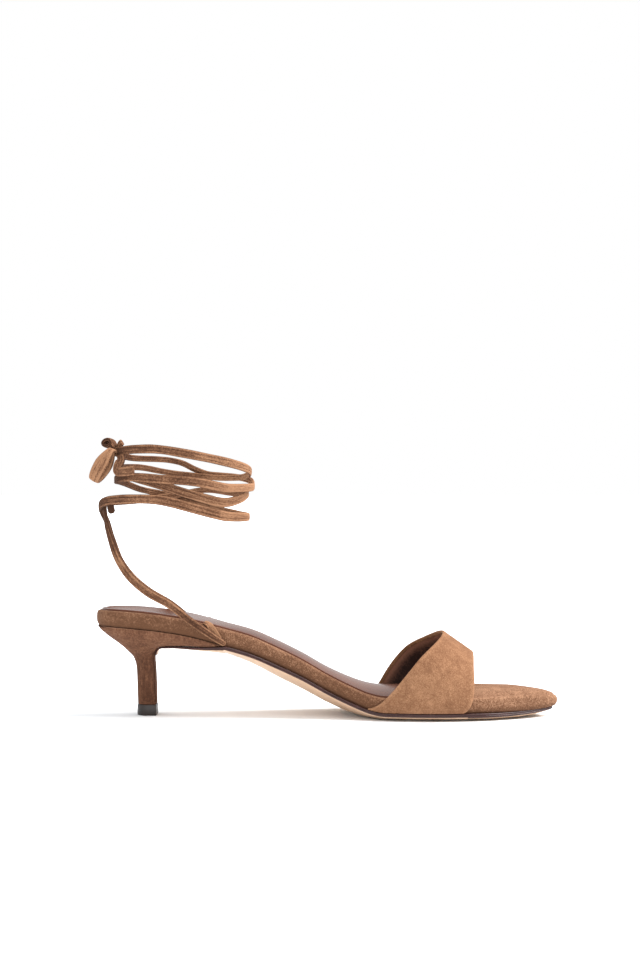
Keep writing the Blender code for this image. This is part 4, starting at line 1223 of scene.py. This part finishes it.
def gathered(turn, height):
    """Share of the strap's width at a turn of the oval: narrower on the outer side and higher up."""
    inner_side = (1 + np.sin(np.radians(turn))) / 2
    side = GATHER_OUTER_SIDE + (1 - GATHER_OUTER_SIDE) * ease(inner_side)
    return float(side * (1 - (1 - GATHER_HIGH) * portion(height, GATHER_HIGH_FROM, GATHER_HIGH_TO)))


def riser_points(sign):
    """The tie from its slot up to the crossing: the outer one lies a little further back and lower."""
    points, facing = [], []
    for row in RISER:
        share = row.side / RISER_WIDE if sign > 0 else 0.0
        station = row.station - OUTER_LAG * share
        y = sign * row.side + float(centre(station))
        points.append((station, y, row.height - OUTER_SAG * share * (station < RISER[1].station)))
        angle = np.radians(row.facing)
        facing.append((np.cos(angle), sign * np.sin(angle), 0.0, row.share))
    return points, facing


def knot_place():
    """Middle of the knot, and the direction out of the oval there."""
    place, facing = around(KNOT_TURN, KNOT_HEIGHT, KNOT_OUT)
    return np.array([*place, KNOT_HEIGHT]), np.array([*facing, 0.0])


def make_tie(node, folds, sign, seed):
    """One ankle tie, from its slot to the knot. sign -1 rises on the inner side."""
    points, facing = riser_points(sign)
    last = folds[-1].turned
    for turned in np.linspace(0, last, round(last / FOLD_STEP)):
        height, layer = (float(column(folds, name, turned, by="turned")) for name in ("height", "layer"))
        place, out = around(180 - sign * turned, height, layer)
        points.append((*place, height))
        facing.append((*out, 0.0, gathered(180 - sign * turned, height)))
    middle, out = knot_place()
    points.append(tuple(middle))
    facing.append((*out, GATHER_OUTER_SIDE))
    course = even_path(points, facing, TIE_SPACING)
    strap_piece(node + "_strap", course, seed, [node], folded=1.0, ends=(STRAP_TIP, 0))


def make_anchor(node, sign, seed):
    """Short strap from the sock's edge over the footbed's side to the tie's slot."""
    lag, sink = (OUTER_LAG, ANCHOR_SINK) if sign > 0 else (0.0, 0.0)
    points, facing = [], []
    for row in ANCHOR:
        station = row.station - lag
        side = sign * (float(half_width(station)) + row.side) + float(centre(station))
        height = float(bed(station, sign)) + row.over
        on_top = row.over > 0
        points.append((station, side, height - sink * on_top))
        facing.append((0.0, float(sign), ANCHOR_LEAN * on_top, row.share))
    size = (ANCHOR_WIDTH, ANCHOR_THICK, CREASE_DEEP / 2)
    looks = {"tone": ANCHOR_TONE, "ends": (0, STRAP_TIP)}
    strap_piece(node + "_strap", even_path(points, facing, END_SPACING), seed, [node], size, **looks)


def make_knot(seed):
    """Pulled-tight knot: a band of the strap wound round the crossing, over a filled core."""
    middle, out = knot_place()
    along = np.cross(UP, out)
    deep = KNOT_DEEP / 2 - KNOT_BAND_IN
    tall = KNOT_TALL / 2 - KNOT_BAND_IN
    angles = np.linspace(KNOT_BAND_FROM, KNOT_BAND_TO, KNOT_BAND_STEPS) * np.pi
    sweep = np.linspace(-1, 1, KNOT_BAND_STEPS)
    growth = 1 + KNOT_BAND_GROWTH * sweep
    path = middle + np.outer(deep * growth * np.cos(angles), out)
    path += np.outer(tall * growth * np.sin(angles), UP) + np.outer(KNOT_BAND_LIFT * sweep, along)
    facing = np.outer(np.cos(angles), out) + np.outer(np.sin(angles), UP)
    builder = strap_builder()
    course = (path, facing, np.ones(len(path)))
    add_strap(builder, course, KNOT_BAND_WIDTH, KNOT_BAND_THICK, CREASE_DEEP, seed)
    core = []
    for level in np.linspace(-1, 1, KNOT_CORE_RINGS):
        girth = np.sqrt(1 - level**2) + KNOT_CORE_LEAST
        place = middle + along * level * KNOT_CORE_LONG
        core.append(oval(place, out * deep * girth, UP * tall * girth, KNOT_CORE_SIDES))
    add_tube(builder, core)
    finish_piece("knot", builder, [TIE_SUEDE], ["bow_knot"])


def make_loop(row):
    """Bow loop: a strap that leaves the knot, turns back at its tip and returns beside itself."""
    middle, _ = knot_place()
    along = unit(np.array(row.along))
    opening = unit(np.array(row.open) - np.dot(row.open, along) * along)
    angles = np.linspace(-LOOP_SPREAD * np.pi, LOOP_SPREAD * np.pi, LOOP_STEPS)
    reach = row.length * (1 + np.cos(angles)) / 2
    swell = row.opening * np.sin(angles)
    start = middle + np.array(row.start)
    path = start + reach[:, None] * along + swell[:, None] * opening / 2
    path = np.concatenate([[(middle + path[0]) / 2], path, [(middle + path[-1]) / 2]])
    facing = np.cross(np.gradient(path, axis=0), np.cross(along, opening))
    share = smooth([0.0, 0.5, 1.0], [row.neck, row.belly, row.tip], reach / row.length)
    course = (path, facing, np.concatenate([[row.neck], share, [row.neck]]))
    strap_piece(row.node + "_strap", course, row.seed, [row.node], tone=row.tone)


def make_end(name, points, share, seed, **details):
    """A loose end of a tie, by the knot or at the crossing."""
    course = even_path(points, [(*END_FACING, share)] * len(points), END_SPACING)
    strap_piece(name, course, seed, **details)


make_footbed()
make_sock()
make_sock_stitches()
make_outsole()
make_vamp()
make_heel()
make_tip()
make_tie("tie_inner", INNER_FOLDS, -1, seed=11)
make_tie("tie_outer", OUTER_FOLDS, 1, seed=14)
make_anchor("anchor_inner", -1, seed=17)
make_anchor("anchor_outer", 1, seed=20)
make_knot(seed=31)
for loop_row in LOOPS:
    make_loop(loop_row)
make_end("tail_long", LONG_END, 1.0, seed=47, nodes=["tie_end_long"])
make_end("tail_short", SHORT_END, SHORT_END_SHARE, seed=50, nodes=["tie_end_short"])
# The tab is darkened with painted shade
make_end("tie_tab", TAB, TAB_SHARE, seed=53, tone=TAB_PAINTED_SHADE, ends=(0, STRAP_TIP))

# Stage: a white floor, a white surround, a broad soft light from above the toe and a fill from the front
FLOOR_SIZE = 30.0
FLOOR_WHITE = (0.89, 0.92, 0.945, 1.0)
FLOOR_ROUGH = 0.9
SURROUND_WHITE = (1.0, 1.0, 1.0, 1.0)
SURROUND_STRENGTH = 1.0
CAMERA_AT = (-0.0035, -1.150, 0.1254)
CAMERA_LENS = 80.88
CAMERA_SENSOR = 36.0
Light = namedtuple("Light", "name place strength spread")
LIGHTS = table(Light, ("key", (1.32, 0.12, 1.48), 6.0, 50.0), ("fill", (-0.2, -2.0, 1.0), 0.9, 60.0))


def make_floor():
    builder = bmesh.new()
    bmesh.ops.create_grid(builder, x_segments=2, y_segments=2, size=FLOOR_SIZE / 2)
    mesh = mesh_from("floor", builder)
    paint = Paint("floor_white", FLOOR_ROUGH, specular=0.0)
    paint.shader.inputs["Base Color"].default_value = FLOOR_WHITE
    mesh.materials.append(paint.material)
    floor = add_object("floor", mesh)


def make_light(row):
    """A far, broad light from the direction of its place, as wide as the spread in degrees."""
    light = bpy.data.lights.new(row.name, "SUN")
    light.energy = row.strength
    light.angle = np.radians(row.spread)
    lamp = add_object(row.name, light)
    lamp.location = row.place
    lamp.rotation_euler = (-Vector(row.place)).to_track_quat("-Z", "Y").to_euler()


def make_surround():
    world = bpy.data.worlds.new("surround")
    bpy.context.scene.world = world
    world.use_nodes = True
    sky = world.node_tree.nodes["Background"]
    sky.inputs["Color"].default_value = SURROUND_WHITE
    sky.inputs["Strength"].default_value = SURROUND_STRENGTH


def make_camera():
    """A level camera that looks along +Y."""
    camera = bpy.data.cameras.new("camera")
    camera.lens = CAMERA_LENS
    camera.sensor_width = CAMERA_SENSOR
    viewer = add_object("camera", camera)
    viewer.location = CAMERA_AT
    viewer.rotation_euler = (np.pi / 2, 0.0, 0.0)
    bpy.context.scene.camera = viewer


make_floor()
make_surround()
for light_row in LIGHTS:
    make_light(light_row)
make_camera()
bpy.context.scene.view_settings.view_transform = "Standard"
